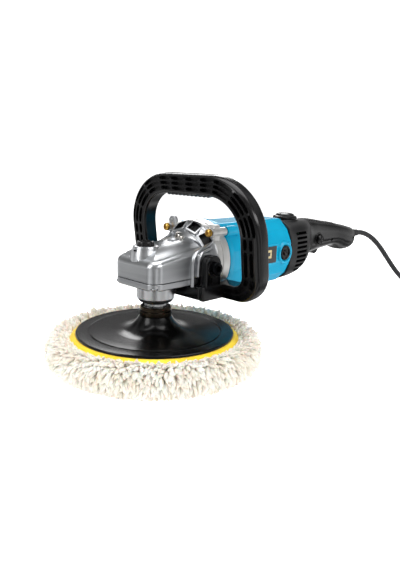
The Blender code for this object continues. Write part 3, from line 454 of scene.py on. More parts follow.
# Pressed carbon brush: dull grey-black with tiny pits.
pressedCarbon = surface(
    "pressed_carbon", "#1D1D1E", "#2A2A2C", (0.55, 0.70), 4, 0.5, 0.03)
# Phenolic board and winding varnish: brown-green, uneven.
phenolicBoard = surface(
    "varnished_board", "#2E4A35", "#3C5A42", (0.35, 0.50), 12, 0.8, 0.02)


def closedCellFoam():
    # Cross-linked foam ring, cut: bright yellow, with cut cells about 1.5 mm wide as small dimples.
    material, tree, shader = newMaterial(
        "yellow_closed_cell_foam", {"Roughness": 0.62, "IOR": 1.45, "Sheen Weight": 0.15})
    place = addNode(tree, "ShaderNodeTexCoord").outputs["Object"]
    cloud = addNode(tree, "ShaderNodeTexNoise", {"Scale": 25.0, "Detail": 3.0},
                    {"Vector": place}).outputs[0]
    cells = addNode(tree, "ShaderNodeTexVoronoi", {"Scale": 1 / (1.5 * mm)},
                    {"Vector": place}).outputs["Distance"]
    tree.links.new(ramp(tree, cloud, 0.3, 0.75, linear("#F2C414"), linear("#FFE13A")),
                   shader.inputs["Base Color"])
    tree.links.new(addNode(tree, "ShaderNodeBump", {"Strength": 0.35, "Distance": 0.25 * mm},
                           {"Height": cells}).outputs[0], shader.inputs["Normal"])
    return material


def sheepWool():
    # Scoured sheep's wool, tufted: warm white tips over a root painted darker and warmer as shade among the tufts.
    material, tree, shader = newMaterial(
        "tufted_sheep_wool",
        {"Roughness": 0.92, "IOR": 1.45, "Sheen Weight": 0.3, "Sheen Roughness": 0.5,
         "Subsurface Weight": 0.2, "Subsurface Scale": 0.005})
    place = addNode(tree, "ShaderNodeTexCoord").outputs["Object"]
    depth = addNode(tree, "ShaderNodeAttribute", {"attribute_name": "rootShadeToTip"}).outputs["Fac"]
    cloud = addNode(tree, "ShaderNodeTexNoise", {"Scale": 1 / (16 * mm), "Detail": 3.0},
                    {"Vector": place}).outputs[0]
    fibre = addNode(tree, "ShaderNodeTexNoise", {"Scale": 1 / (0.9 * mm), "Detail": 3.0},
                    {"Vector": place}).outputs[0]
    # painted shade: this ramp darkens the lock roots and the core between the locks, in place of the shade among
    # the tufts
    pile = ramp(tree, depth, 0.0, 0.7, linear("#C3B8A9"), linear("#F0ECE6"))
    tint = ramp(tree, cloud, 0.3, 0.7, linear("#EDE6DC"), linear("#FDFCFA"))
    mixed = addNode(tree, "ShaderNodeMix", {"data_type": "RGBA", "blend_type": "MULTIPLY", 0: 1.0},
                    {6: pile, 7: tint})
    tree.links.new(mixed.outputs[2], shader.inputs["Base Color"])
    tree.links.new(addNode(tree, "ShaderNodeBump", {"Strength": 0.5, "Distance": 0.5 * mm},
                           {"Height": fibre}).outputs[0], shader.inputs["Normal"])
    return material


def printedLabel():
    # Printed foil label: dark ground with a plain pale frame, and no lettering.
    material, tree, shader = newMaterial(
        "printed_foil_label", {"Roughness": 0.28, "IOR": 1.5, "Coat Weight": 0.5,
                               "Coat Roughness": 0.1})
    place = addNode(tree, "ShaderNodeTexCoord").outputs["Object"]
    axes = addNode(tree, "ShaderNodeSeparateXYZ", links={0: place})
    cloud = addNode(tree, "ShaderNodeTexNoise", {"Scale": 90.0, "Detail": 2.0},
                    {"Vector": place}).outputs[0]

    def inside(source, middle, half):
        # 1 where the coordinate is within half of the middle, in millimetres
        shifted = addNode(tree, "ShaderNodeMath", {"operation": "SUBTRACT", 1: middle * mm},
                          {0: source}).outputs[0]
        size = addNode(tree, "ShaderNodeMath", {"operation": "ABSOLUTE"}, {0: shifted}).outputs[0]
        return addNode(tree, "ShaderNodeMath", {"operation": "LESS_THAN", 1: half * mm},
                       {0: size}).outputs[0]

    def both(one, other, operation="MULTIPLY"):
        return addNode(tree, "ShaderNodeMath", {"operation": operation},
                       {0: one, 1: other}).outputs[0]

    badge = both(inside(axes.outputs["X"], 139, 9), inside(axes.outputs["Z"], 106, 5))
    hollow = both(inside(axes.outputs["X"], 139, 6.4), inside(axes.outputs["Z"], 106, 2.2))
    mark = both(badge, hollow, "SUBTRACT")
    ground = ramp(tree, cloud, 0.3, 0.7, linear("#0E0E10"), linear("#19191B"))
    colour = addNode(tree, "ShaderNodeMix", {"data_type": "RGBA", 7: linear("#B9A878")},
                     {0: mark, 6: ground})
    tree.links.new(colour.outputs[2], shader.inputs["Base Color"])
    return material


yellowFoam = closedCellFoam()
wool = sheepWool()
label = printedLabel()
print("finishes made")


# The lead, its coil and the plug.
leadPlan = {
    "radius": 4.0,
    "start": (437, 0, 107),
    "route": [(0.8, 0, 107), (14, -0.4, 106.5), (28, -2, 103.4), (43, -5, 97), (57, -9.5, 87),
              (69, -15, 74), (79.5, -21.5, 59), (89.5, -29, 43), (101, -37.5, 27.5),
              (115, -47, 14.5), (131, -56, 6.6), (147, -64, 4.3), (163, -74, 4.3),
              (179, -87.5, 4.3), (195, -102, 4.3)],
    "coilMiddle": (612, -152),
    "outerTurn": 50,
    "joinDegrees": 45,
    # each stretch of the coil: how many turns, how far out it moves, how far up
    "stretches": [(2.0, -16, 0), (0.2, 0, 8), (2.0, 16, 0), (0.2, 0, 8), (1.6, -12.8, 0)],
    "floorHeight": 4.3,
    "tail": [(646.8, -134.2, 25.8), (655.3, -142.7, 28.8), (663.8, -151.2, 28.8),
             (672.3, -159.7, 25), (680, -168.5, 19), (688, -180, 13), (689.6, -194, 9.5),
             (686, -208, 8.5), (677.5, -219, 9.5), (666, -226, 13), (655, -228, 17.4),
             (646.5, -228, 18.6)],
    "plugRear": (646, -228, 18.6),
}


def leadPoints(plan):
    points = [Vector((plan["start"][0] + x, y, z)) for x, y, z in plan["route"]]
    middle = Vector(plan["coilMiddle"])
    radius, angle, height = plan["outerTurn"], math.radians(plan["joinDegrees"]), plan["floorHeight"]
    for turns, outward, upward in plan["stretches"]:
        count = max(3, round(turns * 16))
        for step in range(count):
            share = step / count
            points.append(Vector((
                middle.x + (radius + outward * share) * math.cos(angle - fullTurn * turns * share),
                middle.y + (radius + outward * share) * math.sin(angle - fullTurn * turns * share),
                height + upward * share)))
        radius, angle, height = radius + outward, angle - fullTurn * turns, height + upward
    points.append(Vector((middle.x + radius * math.cos(angle), middle.y + radius * math.sin(angle),
                          height + 1.5)))
    return points + [Vector(place) for place in plan["tail"]]


def makeLead(plan):
    data = bpy.data.curves.new("powerLead", "CURVE")
    data.dimensions = "3D"
    data.bevel_depth = plan["radius"] * mm
    data.bevel_resolution = 4
    data.use_fill_caps = True
    spline = data.splines.new("NURBS")
    points = leadPoints(plan)
    spline.points.add(len(points) - 1)
    for point, place in zip(spline.points, points):
        point.co = (*(place * mm), 1)
    spline.order_u = 4
    spline.use_endpoint_u = True
    spline.resolution_u = 4
    lead = bpy.data.objects.new("powerLead", data)
    bpy.context.scene.collection.objects.link(lead)
    lead.data.materials.append(mattRubber)
    length = sum((b - a).length for a, b in zip(points, points[1:])) * mm
    print("lead length", round(length, 3))
    return lead, length


lead, leadLength = makeLead(leadPlan)
print("lead laid")


def smoothPath(points, steps):
    # a curve through the points, several steps to each stretch
    points = [Vector(p) for p in points]
    line = []
    for number in range(len(points) - 1):
        before, here = points[max(number - 1, 0)], points[number]
        after, beyond = points[number + 1], points[min(number + 2, len(points) - 1)]
        for step in range(steps):
            t = step / steps
            line.append(0.5 * (2 * here + (after - before) * t
                               + (2 * before - 5 * here + 4 * after - beyond) * t * t
                               + (3 * here - before - 3 * after + beyond) * t ** 3))
    return line + [points[-1]]


def tube(name, points, radii, sides=14):
    # a round bar along a path; radii is one number or one for each point
    points = [Vector(p) for p in points]
    radii = radii if isinstance(radii, (list, tuple)) else [radii] * len(points)
    rings, side = [], None
    for number, point in enumerate(points):
        ahead = (points[min(number + 1, len(points) - 1)]
                 - points[max(number - 1, 0)]).normalized()
        side = ahead.orthogonal() if side is None else side - ahead * side.dot(ahead)
        side.normalize()
        up = ahead.cross(side)
        rings.append([point + radii[number] * (side * math.cos(fullTurn * k / sides)
                                               + up * math.sin(fullTurn * k / sides))
                      for k in range(sides)])
    return wrapped(name, rings)


def onAxisX(x, y, z, back=False):
    # stands a turned piece's axis along X (or -X), from a point in millimetres
    turn = Matrix.Rotation(math.radians(-90 if back else 90), 4, "Y")
    return Matrix.Translation(Vector((x, y, z)) * mm) @ turn


def onAxisY(x, y, z, back=False):
    turn = Matrix.Rotation(math.radians(90 if back else -90), 4, "X")
    return Matrix.Translation(Vector((x, y, z)) * mm) @ turn


def mainsPlug():
    rear = leadPlan["plugRear"]
    profile = [(0, 0), (5.0, 0), (5.4, 0.8), (5.4, 3.4), (4.8, 4.2), (4.8, 5), (5.9, 5.8), (5.9, 8.4),
               (5.3, 9.2), (5.3, 10), (6.6, 10.8), (6.6, 13.4), (6.0, 14.2), (6.0, 15), (7.6, 16),
               (9.6, 18), (12.6, 21), (15.4, 24.5), (17.4, 29), (18.2, 34), (18.2, 39), (17.2, 40),
               (17.2, 42), (18.2, 43), (18.2, 50), (17.4, 53), (16, 54), (0, 54)]
    body = turned("mainsPlug", profile, 64, onAxisX(*rear, back=True))
    for side in (-1, 1):
        y = rear[1] + side * 9.5
        body = weldOn(body, rod("pin", (592.6, y, rear[2]), (573.4, y, rear[2]), 2.4,
                                sides=20, edge=0.8))
    return finished(body, "machine", [mattRubber, drawnBrass], ["mains_plug"],
                    paint=[(1, lambda c, n: c.x < 591.9)])


def cordGuard():
    # rubber boot: a flange held in the grip, then a taper with grooves so that it bends evenly
    profile = [(0, 0), (7.6, 0), (7.6, 2.4), (6.2, 2.6), (6.2, 9), (8.2, 10.4), (8.6, 12), (8.6, 15),
               (8.0, 16.4), (6.6, 17), (6.6, 19.4), (7.2, 20), (7.2, 23), (6.7, 23.6), (5.8, 24),
               (5.8, 26), (6.5, 26.6), (6.5, 29.6), (6.0, 30.2), (5.2, 30.6), (5.2, 32.6), (5.9, 33.2),
               (5.9, 36), (5.4, 36.8), (4.8, 37.2), (4.8, 39.2), (5.3, 39.8), (5.2, 45), (4.8, 45.8),
               (0, 45.8)]
    guard = turned("cordGuard", profile, 48, onAxisX(391.2, 0, cordHeight))
    return finished(guard, "machine", [mattRubber], ["cord_guard"])


plug = mainsPlug()
guard = cordGuard()
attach(lead, "machine")
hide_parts("power_cord", "cord_coil")
print("plug and guard made")


# The pad, foam, plate and collar that spin.
padPlan = {
    "core": [(0, 11.5), (91.4, 11.5), (91.4, 22), (93.4, 25), (98, 26.6), (102.5, 26.2),
             (106, 23.6), (108.4, 19.5), (109.2, 14.5), (107.6, 8.5), (103.6, 3.6), (97, 1.2), (60, 0.9), (0, 0.9)],
    "lockRows": 20,
    "lockGapMm": 2.8,
    "lockLength": (9.5, 14.0),
    "lockWidth": (1.5, 2.4),
    "seed": 7,
}


def woolLock(name, bend, wind):
    # one curled lock, 1 mm across and 1 mm long, its root at the origin
    clearSelection()
    bpy.ops.mesh.primitive_cylinder_add(vertices=6, radius=0.5, depth=1, end_fill_type="TRIFAN")
    lock = bpy.context.object
    lock.name = name
    editing(lock, lambda: bpy.ops.transform.translate(value=(0, 0, 0.5)))
    for height in (0.2, 0.45, 0.7, 0.88):
        editing(lock, lambda: bpy.ops.mesh.bisect(plane_co=(0, 0, height), plane_no=(0, 0, 1)))
    # 0 at the root and 1 at the tip: the wool finish paints shade towards the root
    depth = lock.data.attributes.new("rootShadeToTip", "FLOAT", "POINT")
    for vert in lock.data.vertices:
        height = vert.co.z
        girth = {0: 0.8, 0.2: 1.05, 0.45: 1.1, 0.7: 0.8, 0.88: 0.45}.get(round(height, 2), 0.12)
        angle = wind * height * fullTurn
        x, y = vert.co.x * girth, vert.co.y * girth
        vert.co = (x + bend * math.cos(angle) * height, y + bend * math.sin(angle) * height,
                   height - 0.12 * height * height)
        depth.data[vert.index].value = height
    return lock


def woolPad():
    plan = padPlan
    draw = random.Random(plan["seed"])
    core = turned("woolPad", plan["core"], 120)
    depth = core.data.attributes.new("rootShadeToTip", "FLOAT", "POINT")
    for vert in core.data.vertices:
        flatUnder = vert.co.z < 2 * mm
        # the core, seen between the locks, takes the root's painted shade; the flat underside takes less of it
        depth.data[vert.index].value = 0.75 if flatUnder else 0.15
        if flatUnder and vert.co.length > 1 * mm:
            vert.co.z = draw.uniform(0.5, 2.0) * mm
    masters = [woolLock("lock", bend, wind) for bend, wind in
               ((0.16, 0.4), (0.24, 0.6), (-0.2, 0.5), (0.1, 0.9))]
    # places along the pile's outline, from the inner lip over the rim to the underside
    outline = smoothPath([(r, 0, z) for r, z in plan["core"][2:12]], 8)
    lengths = [0]
    for a, b in zip(outline, outline[1:]):
        lengths.append(lengths[-1] + (b - a).length)
    locks = []
    rows = plan["lockRows"]
    for row in range(rows):
        target = lengths[-1] * (row + 0.5) / rows * 0.93
        at = max(n for n, value in enumerate(lengths) if value <= target)
        here, ahead = outline[at], (outline[at + 1] - outline[at]).normalized()
        outward = Vector((-ahead.z, 0, ahead.x))
        if outward.dot(Vector((here.x - 103, 0, here.z - 14))) < 0:
            outward = -outward
        count = int(fullTurn * here.x / plan["lockGapMm"])
        for number in range(count):
            around = fullTurn * (number + 0.5 * (row % 2) + draw.uniform(-0.4, 0.4)) / count
            spin = Matrix.Rotation(around, 3, "Z")
            base = spin @ (here + Vector((draw.uniform(-1, 1), 0, draw.uniform(-1, 1))))
            lean = spin @ (outward * draw.uniform(0.3, 0.62) + ahead * draw.uniform(0.4, 0.8)
                           + Vector((0, draw.uniform(-0.4, 0.4), -0.15)))
            lean.normalize()
            reach = draw.uniform(*plan["lockLength"])
            if row < 3:
                reach *= 0.5 + 0.14 * row
            if base.z + lean.z * reach * 0.8 < 1.2:
                lean.z = max(lean.z, (1.2 - base.z) / (reach * 0.8))
            girth = draw.uniform(*plan["lockWidth"]) * 2
            turn = lean.to_track_quat("Z", "Y").to_matrix().to_4x4()
            matrix = (Matrix.Translation(base * mm) @ turn
                      @ Matrix.Rotation(draw.uniform(0, fullTurn), 4, "Z")
                      @ Matrix.Diagonal((girth * mm, girth * mm, reach * mm, 1)))
            other = bpy.data.objects.new("lock", masters[draw.randrange(4)].data.copy())
            bpy.context.scene.collection.objects.link(other)
            other.data.transform(matrix)
            locks.append(other)
    for master in masters:
        bpy.data.objects.remove(master)
    print("wool locks", len(locks))
    pad = together("woolPad", [core] + locks)
    for vert in pad.data.vertices:
        vert.co.z = max(vert.co.z, 0.0002)
    finished(pad, "spindle_and_pad", [wool], ["wool_pad"], smooth=0)
    bpy.ops.object.shade_smooth()
    return pad


def foamDisc():
    outline = rounded([(0, 12.3, 0), (91.2, 12.3, 1), (92.6, 19, 3), (91.8, 26, 2.2),
                       (86.4, 30.2, 1.4), (0, 30.2, 0)], 5)
    foam = turned("foamDisc", outline, 120)
    finished(foam, "spindle_and_pad", [yellowFoam], ["foam_disc"], smooth=50)
    return foam


def backingPlate():
    hub = [(17.4 + 27.6 * k / 14, 33.2 + 16 * math.exp(-27.6 * k / 14 / 8.2)) for k in range(15)]
    profile = ([(11.3, 30.5), (11.3, 49.2), (16.6, 49.6)] + hub
               + [(58, 33.4), (69.4, 33.2), (69.9, 32.9), (70.1, 31.9), (71.1, 31.9), (71.4, 32.9),
                  (71.9, 33.2), (83.4, 33.1), (84.4, 32.7), (84.9, 31.8), (84.9, 30.6), (84.2, 30.4)])
    plate = turned("backingPlate", profile, 128)
    return finished(plate, "spindle_and_pad", [plateBlack], ["backing_plate"])


def plateCollar():
    # threaded collar moulded into the plate: a wide tier below, a grooved tier with flats above
    profile = [(7.3, 30.8), (11, 30.8), (11, 49.6), (16.9, 49.6), (17.4, 50.2), (17.4, 54.4),
               (16.8, 54.9), (15.6, 55.0), (15.6, 55.9), (16.5, 56.1), (16.5, 57.2), (16.0, 57.4),
               (16.0, 57.9), (16.5, 58.1), (16.5, 59.2), (15.8, 60), (7.3, 60)]
    collar = turned("plateCollar", profile, 72)
    for side in (-1, 1):
        cutWith(collar, sideBlock("flat", side, (-20, 15.2, 56.4), (20, 20, 61)))
    return finished(collar, "spindle_and_pad", [blackChrome], ["plate_insert"])


woolPad()
foamDisc()
backingPlate()
plateCollar()
print("pad made")


# Screws, each in its own hole.
def crossHeadScrew(name, headRadius, headHeight, shankRadius, shankLength):
    # pan head with a driver cross, its seat at the origin, its shank running down
    r, h = headRadius, headHeight
    profile = [(0, -shankLength), (shankRadius - 0.4, -shankLength), (shankRadius, -shankLength + 0.5),
               (shankRadius, 0), (r - 0.2, 0), (r, 0.3), (r, h * 0.45), (r * 0.93, h * 0.72),
               (r * 0.72, h * 0.92), (r * 0.45, h), (0, h)]
    screw = turned(name, profile, 40)
    for turn in (0, 90):
        arm = block("cross", (-r * 0.55, -r * 0.13, h * 0.45), (r * 0.55, r * 0.13, h * 1.2))
        cutWith(screw, placed(arm, Matrix.Rotation(math.radians(turn + 20), 4, "Z")))
    return screw


def headScrews():
    flange = crossHeadScrew("flangeScrew", 4.4, 3.8, 2.1, 3)
    spots = {"flange_screw_1": (1, 1), "flange_screw_2": (1, -1),
             "flange_screw_3": (-1, 1), "flange_screw_4": (-1, -1)}
    for node in spots:
        low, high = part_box(node)
        middle = (low + high) / 2
        # the head looks forwards
        seat = Matrix.Translation((low.x + 4.1 * mm, middle.y, middle.z)) @ Matrix.Rotation(
            math.radians(-90), 4, "Y")
        screw = copied(flange, seat, node.replace("flange_screw_", "flangeScrew"))
        finished(screw, "machine", [yellowZinc], [node])
    bpy.data.objects.remove(flange)
    cover = crossHeadScrew("coverScrew", 3.6, 2.4, 1.9, 3)
    for number in range(1, 5):
        node = "cover_screw_" + str(number)
        low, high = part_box(node)
        middle = (low + high) / 2
        seat = Matrix.Translation((middle.x, middle.y, low.z + 2.4 * mm)) @ Matrix.Rotation(
            math.pi, 4, "X")
        screw = copied(cover, seat, "coverScrew" + str(number))
        finished(screw, "machine", [groundSteel], [node])
    bpy.data.objects.remove(cover)


# Gear head.
headPlan = {
    "nose": -32, "rear": 44, "halfWidth": 33, "cornerRadius": 12, "split": 91.2,
    "roofAtNose": 113.2, "roofSlope": 0.15, "shoulder": 7, "crown": 7.4,
    "bandRadius": 43.5,
    "earCircle": 46.5, "earRadius": 4.9,
    "ventAngles": (-47, -16, 16, 47),
}


def roofHeight(x):
    return headPlan["roofAtNose"] + headPlan["roofSlope"] * (x - headPlan["nose"])


def headRing(inset, drop=0.0, level=None):
    # the head's plan at one height: the roof rises to the rear and swells towards its middle
    plan = headPlan
    half, corner = plan["halfWidth"] - inset, max(plan["cornerRadius"] - inset, 1.2)
    outline = rounded([(plan["nose"] + inset, -half, corner), (plan["rear"], -half, 0.3),
                       (plan["rear"], half, 0.3), (plan["nose"] + inset, half, corner)], 8)
    swell = plan["crown"] * (1 - (half / (plan["halfWidth"] - plan["shoulder"])) ** 3)
    return [(x, y, level if level is not None else roofHeight(x) + max(swell, 0) - drop)
            for x, y in outline]


def bevelWhere(piece, test, width, segments):
    # rounds the edges whose two ends (in millimetres) both pass the test
    clearSelection()
    mesh = piece.data
    chosen = {vert.index for vert in mesh.vertices if test(vert.co / mm)}
    for vert in mesh.vertices:
        vert.select = vert.index in chosen
    for edge in mesh.edges:
        edge.select = edge.vertices[0] in chosen and edge.vertices[1] in chosen
    for face in mesh.polygons:
        face.select = False
    bpy.context.view_layer.objects.active = piece
    piece.select_set(True)
    bpy.context.tool_settings.mesh_select_mode = (False, True, False)
    bpy.ops.object.mode_set(mode="EDIT")
    bpy.ops.mesh.bevel(offset=width * mm, segments=segments, affect="EDGES", clamp_overlap=True)
    bpy.context.tool_settings.mesh_select_mode = (True, False, False)
    bpy.ops.object.mode_set(mode="OBJECT")
    return faceOutwards(piece)


def aroundDrum(angle, radius, x=0):
    # a place on the drum, at an angle from straight up towards the left side
    turn = math.radians(angle)
    return (x, radius * math.sin(turn), motorHeight + radius * math.cos(turn))


def inShadedWindow(stand, centre):
    # true for the walls and the bottom of an air window, which are painted black as the shade inside it
    x, y, z = (stand.inverted() @ (centre * mm)) / mm
    return abs(x - 0.2) < 5.3 and abs(y) < 6.7 and -3.8 < z < 0.6


def gearHousing():
    plan = headPlan
    nose, half = plan["nose"], plan["halfWidth"]
    edge = plan["shoulder"]
    rings = [headRing(0.7, level=plan["split"]), headRing(0, level=plan["split"] + 0.7)]
    for step in range(7):
        angle = math.radians(15 * step)
        rings.append(headRing(edge * (1 - math.cos(angle)), edge * (1 - math.sin(angle))))
    rings += [headRing(inset, 0) for inset in (10, 14, 18, 22, 26, 29, half - 1)]
    head = wrapped("gearHousing", rings)
    axis = onAxisX(0, 0, motorHeight)
    band = plan["bandRadius"]
    drum = turned("drum", [(20, 37), (26.5, 37.4), (30.6, 40), (33.6, 43), (36.6, 45.2), (39.4, 46.8),
                           (41.8, 48.6), (band - 0.4, 50.4), (band, 51.4), (band, 57), (band - 0.7, 57.6),
                           (band - 0.7, 58.6), (band, 59.2), (band, 69.2), (band - 0.7, 70),
                           (39.9, 70), (39.9, 52.4), (36, 50), (20, 50)], 96, axis)
    weldOn(head, drum)
    # ears, webs and screw bosses round the flange
    for angle in (-45, 45, 135, 225):
        _, y0, z0 = aroundDrum(angle, plan["earCircle"])
        radius = plan["earRadius"]
        weldOn(head, rod("ear", (46.2, y0, z0), (69.8, y0, z0), radius, sides=28, edge=0.9))
        web = block("web", (49, -radius + 0.4, 34), (56, radius - 0.4, 46), 1.2)
        weldOn(head, placed(web, Matrix.Translation((0, 0, motorHeight * mm))
                            @ Matrix.Rotation(math.radians(-angle), 4, "X")))
    # framed air windows in the cone, facing forwards and up
    slope = Matrix.Rotation(math.radians(-38), 4, "Y")
    stands = []
    for angle in plan["ventAngles"]:
        stand = (Matrix.Translation((0, 0, motorHeight * mm))
                 @ Matrix.Rotation(math.radians(-angle), 4, "X")
                 @ Matrix.Translation((45.6 * mm, 0, 37.4 * mm)) @ slope)
        stands.append(stand)
        frameBox = block("ventFrame", (-7.4, -8.4, -5), (7.4, 8.4, 1.4), 0.9)
        weldOn(head, placed(frameBox, stand))
    for stand in stands:
        cutWith(head, placed(block("vent", (-5.0, -6.6, -3.6), (5.4, 6.6, 8), 0.8), stand))
    # ring for the lock button, small boss and the lugs on top
    weldOn(head, turned("lockRing", [(4, 110), (15.8, 109), (16.3, 110.6), (15.8, 114), (15.0, 117.6),
                                     (14.2, 120.8), (13.6, 123), (13.4, 124.6), (12.9, 125.6),
                                     (12.0, 126), (10.4, 126), (9.8, 125.3), (9.8, 119.5), (4, 119.5)],
                        56, Matrix.Translation((lockX * mm, 0, 0))))
    cutWith(head, rod("lockBore", (lockX, 0, 119.5), (lockX, 0, 130), 9.8, sides=56))
    cutWith(head, block("drainSlit", (-29, -2.6, 120.6), (-20, 2.6, 122.4), 0.5))
    top = roofHeight(24) + plan["crown"]
    weldOn(head, turned("oilBoss", [(0, top - 4), (6.8, top - 4), (6.4, top + 0.6), (5.8, top + 1.2),
                                    (4.4, top + 1.2), (4.0, top + 0.5), (0, top + 0.5)],
                        36, Matrix.Translation((24 * mm, 0, 0))))
    weldOn(head, block("nearLug", (50.4, -36, 128), (60, -27, 146), 1.8))
    farLug = rod("farLug", (47.6, 27.5, 145.5), (52.4, 27.5, 145.5), 5.6, sides=28, edge=0.8)
    weldOn(head, farLug, block("farLugFoot", (47.8, 22.4, 134), (52.2, 32.6, 146), 0.6))
    cutWith(head, rod("lugHole", (44, 27.5, 146.4), (56, 27.5, 146.4), 2.3, sides=24))
    # side pads for the loop handle's bolts, each with a double bead round it
    for side in (-1, 1):
        weldOn(head, sideBlock("pad", side, (26, 20, 91.6), (52, 36.7, 117.6), 2.2))
        outer = smoothPath([(20.6, side * 34.2, 83), (20.6, side * 34.2, 87), (20.6, side * 34, 95),
                            (20.8, side * 33.8, 104), (22, side * 33.4, 111.5),
                            (26, side * 33, 117), (34, side * 32.6, 121), (43, side * 33, 124.4),
                            (51, side * 33.4, 127.8)], 4)
        inner = smoothPath([(27, side * 35.6, 93.4), (27.2, side * 35.8, 105), (28.8, side * 35.8, 113),
                            (33.4, side * 35.6, 118), (42, side * 35.4, 120.6), (51, side * 35.2, 122)], 4)
        weldOn(head, tube("outerBead", outer, 2.1), tube("innerBead", inner, 1.6))
    # gear space, shaft bores and the bolt holes
    cutWith(head, block("gearSpace", (nose + 5, -half + 5, 80), (40, half - 5, 108), 3))
    cutWith(head, rod("shaftBore", (30, 0, motorHeight), (58, 0, motorHeight), 17.5, sides=48))
    for side in (-1, 1):
        cutWith(head, rod("boltHole", (bolt[0], side * 27, bolt[1]),
                          (bolt[0], side * 40, bolt[1]), 4.15, sides=24))
    cutWith(head, rod("plungerBore", (lockX, 0, 100), (lockX, 0, 121), 4.0, sides=28))
    return finished(
        head, "machine",
        [polishedCasting, brushedCasting, turnedBand, satinBlack], ["gear_housing"], smooth=38,
        paint=[(1, lambda c, n: c.x < 40 and abs(n.z) < 0.25),
               (2, lambda c, n: c.x > 50 and math.hypot(c.y, c.z - motorHeight) > 42.6),
               # painted shade: the air windows' walls and bottoms take the black finish
               (3, lambda c, n: any(inShadedWindow(stand, c) for stand in stands))])


def nameClip():
    # bright folded strip held by a knurled screw on the head's roof
    z = roofHeight(32) + headPlan["crown"]
    strip = tube("nameClip", smoothPath([(29, 0, z - 1), (29.6, 0, z + 1.6), (31.4, 0.5, z + 3.9),
                                         (34, 1, z + 4.8), (37, 1.4, z + 4.4)], 4), 1.3, 8)
    for vert in strip.data.vertices:
        vert.co.y *= 2.4
    knob = turned("knurledScrew", [(0, 0), (2.0, 0), (2.0, 1.4), (3.1, 1.6), (3.4, 2), (3.4, 3.8),
                                   (3.0, 4.3), (0, 4.4)], 24,
                  Matrix.Translation((31 * mm, -5.2 * mm, (roofHeight(30) + 5.6) * mm)))
    return finished(together("nameClip", [strip, knob]), "machine", [nickelClip])


def gearCaseCover():
    plan = headPlan
    nose, half, corner = plan["nose"], plan["halfWidth"], plan["cornerRadius"]
    outline = rounded([(nose, -half, corner), (40.1, -half, 1.5), (40.1, half, 1.5),
                       (nose, half, corner)], 8)
    cover = prism("gearCaseCover", outline, 84, 90.9)
    bevelWhere(cover, lambda p: p.z < 84.1, 5.0, 6)
    bevelWhere(cover, lambda p: p.z > 90.8, 0.7, 2)
    weldOn(cover, turned("bearingBox", [(12, 64.8), (16.6, 64.8), (17.6, 65.4), (19.8, 68.6),
                                        (20.2, 69.6), (20.2, 81.4), (20.9, 83), (23, 84.6),
                                        (23, 87), (12, 87)], 72))
    cutWith(cover, rod("bearingBore", (0, 0, 67.6), (0, 0, 95), 16.6, sides=56))
    cutWith(cover, rod("mouth", (0, 0, 60), (0, 0, 70), 12.9, sides=56))
    for x in (nose + 5.4, 34.5):
        for y in (5.4 - half, half - 5.4):
            cutWith(cover, rod("screwPocket", (x, y, 80), (x, y, 87), 4.7, sides=28))
    return finished(cover, "machine", [polishedCasting, brushedCasting],
                    ["gear_case_cover"], smooth=38,
                    paint=[(1, lambda c, n: abs(n.z) < 0.2 and c.z > 84)])


def shaftLockButton():
    profile = [(0, 121), (3.0, 121), (3.0, 124.5), (9.2, 124.5), (9.2, 128.8), (8.6, 130),
               (7.4, 130.5), (5.6, 130.2), (0, 129.6)]
    button = turned("shaftLockButton", profile, 56, Matrix.Translation((lockX * mm, 0, 0)))
    ribs = []
    for offset in (-4.5, -1.5, 1.5, 4.5):
        ribs.append(block("rib", (lockX + offset - 0.5, -4.6, 129.4),
                          (lockX + offset + 0.5, 4.6, 130.5), 0.3, 1))
    weldOn(button, together("ribs", ribs))
    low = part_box("shaft_lock_button")[0].z / mm
    if low < 120.9:
        weldOn(button, rod("plunger", (lockX, 0, low), (lockX, 0, 121.5), 2.5, sides=28, edge=0.5))
    return finished(button, "shaft_lock", [glossBlack], ["shaft_lock_button"])


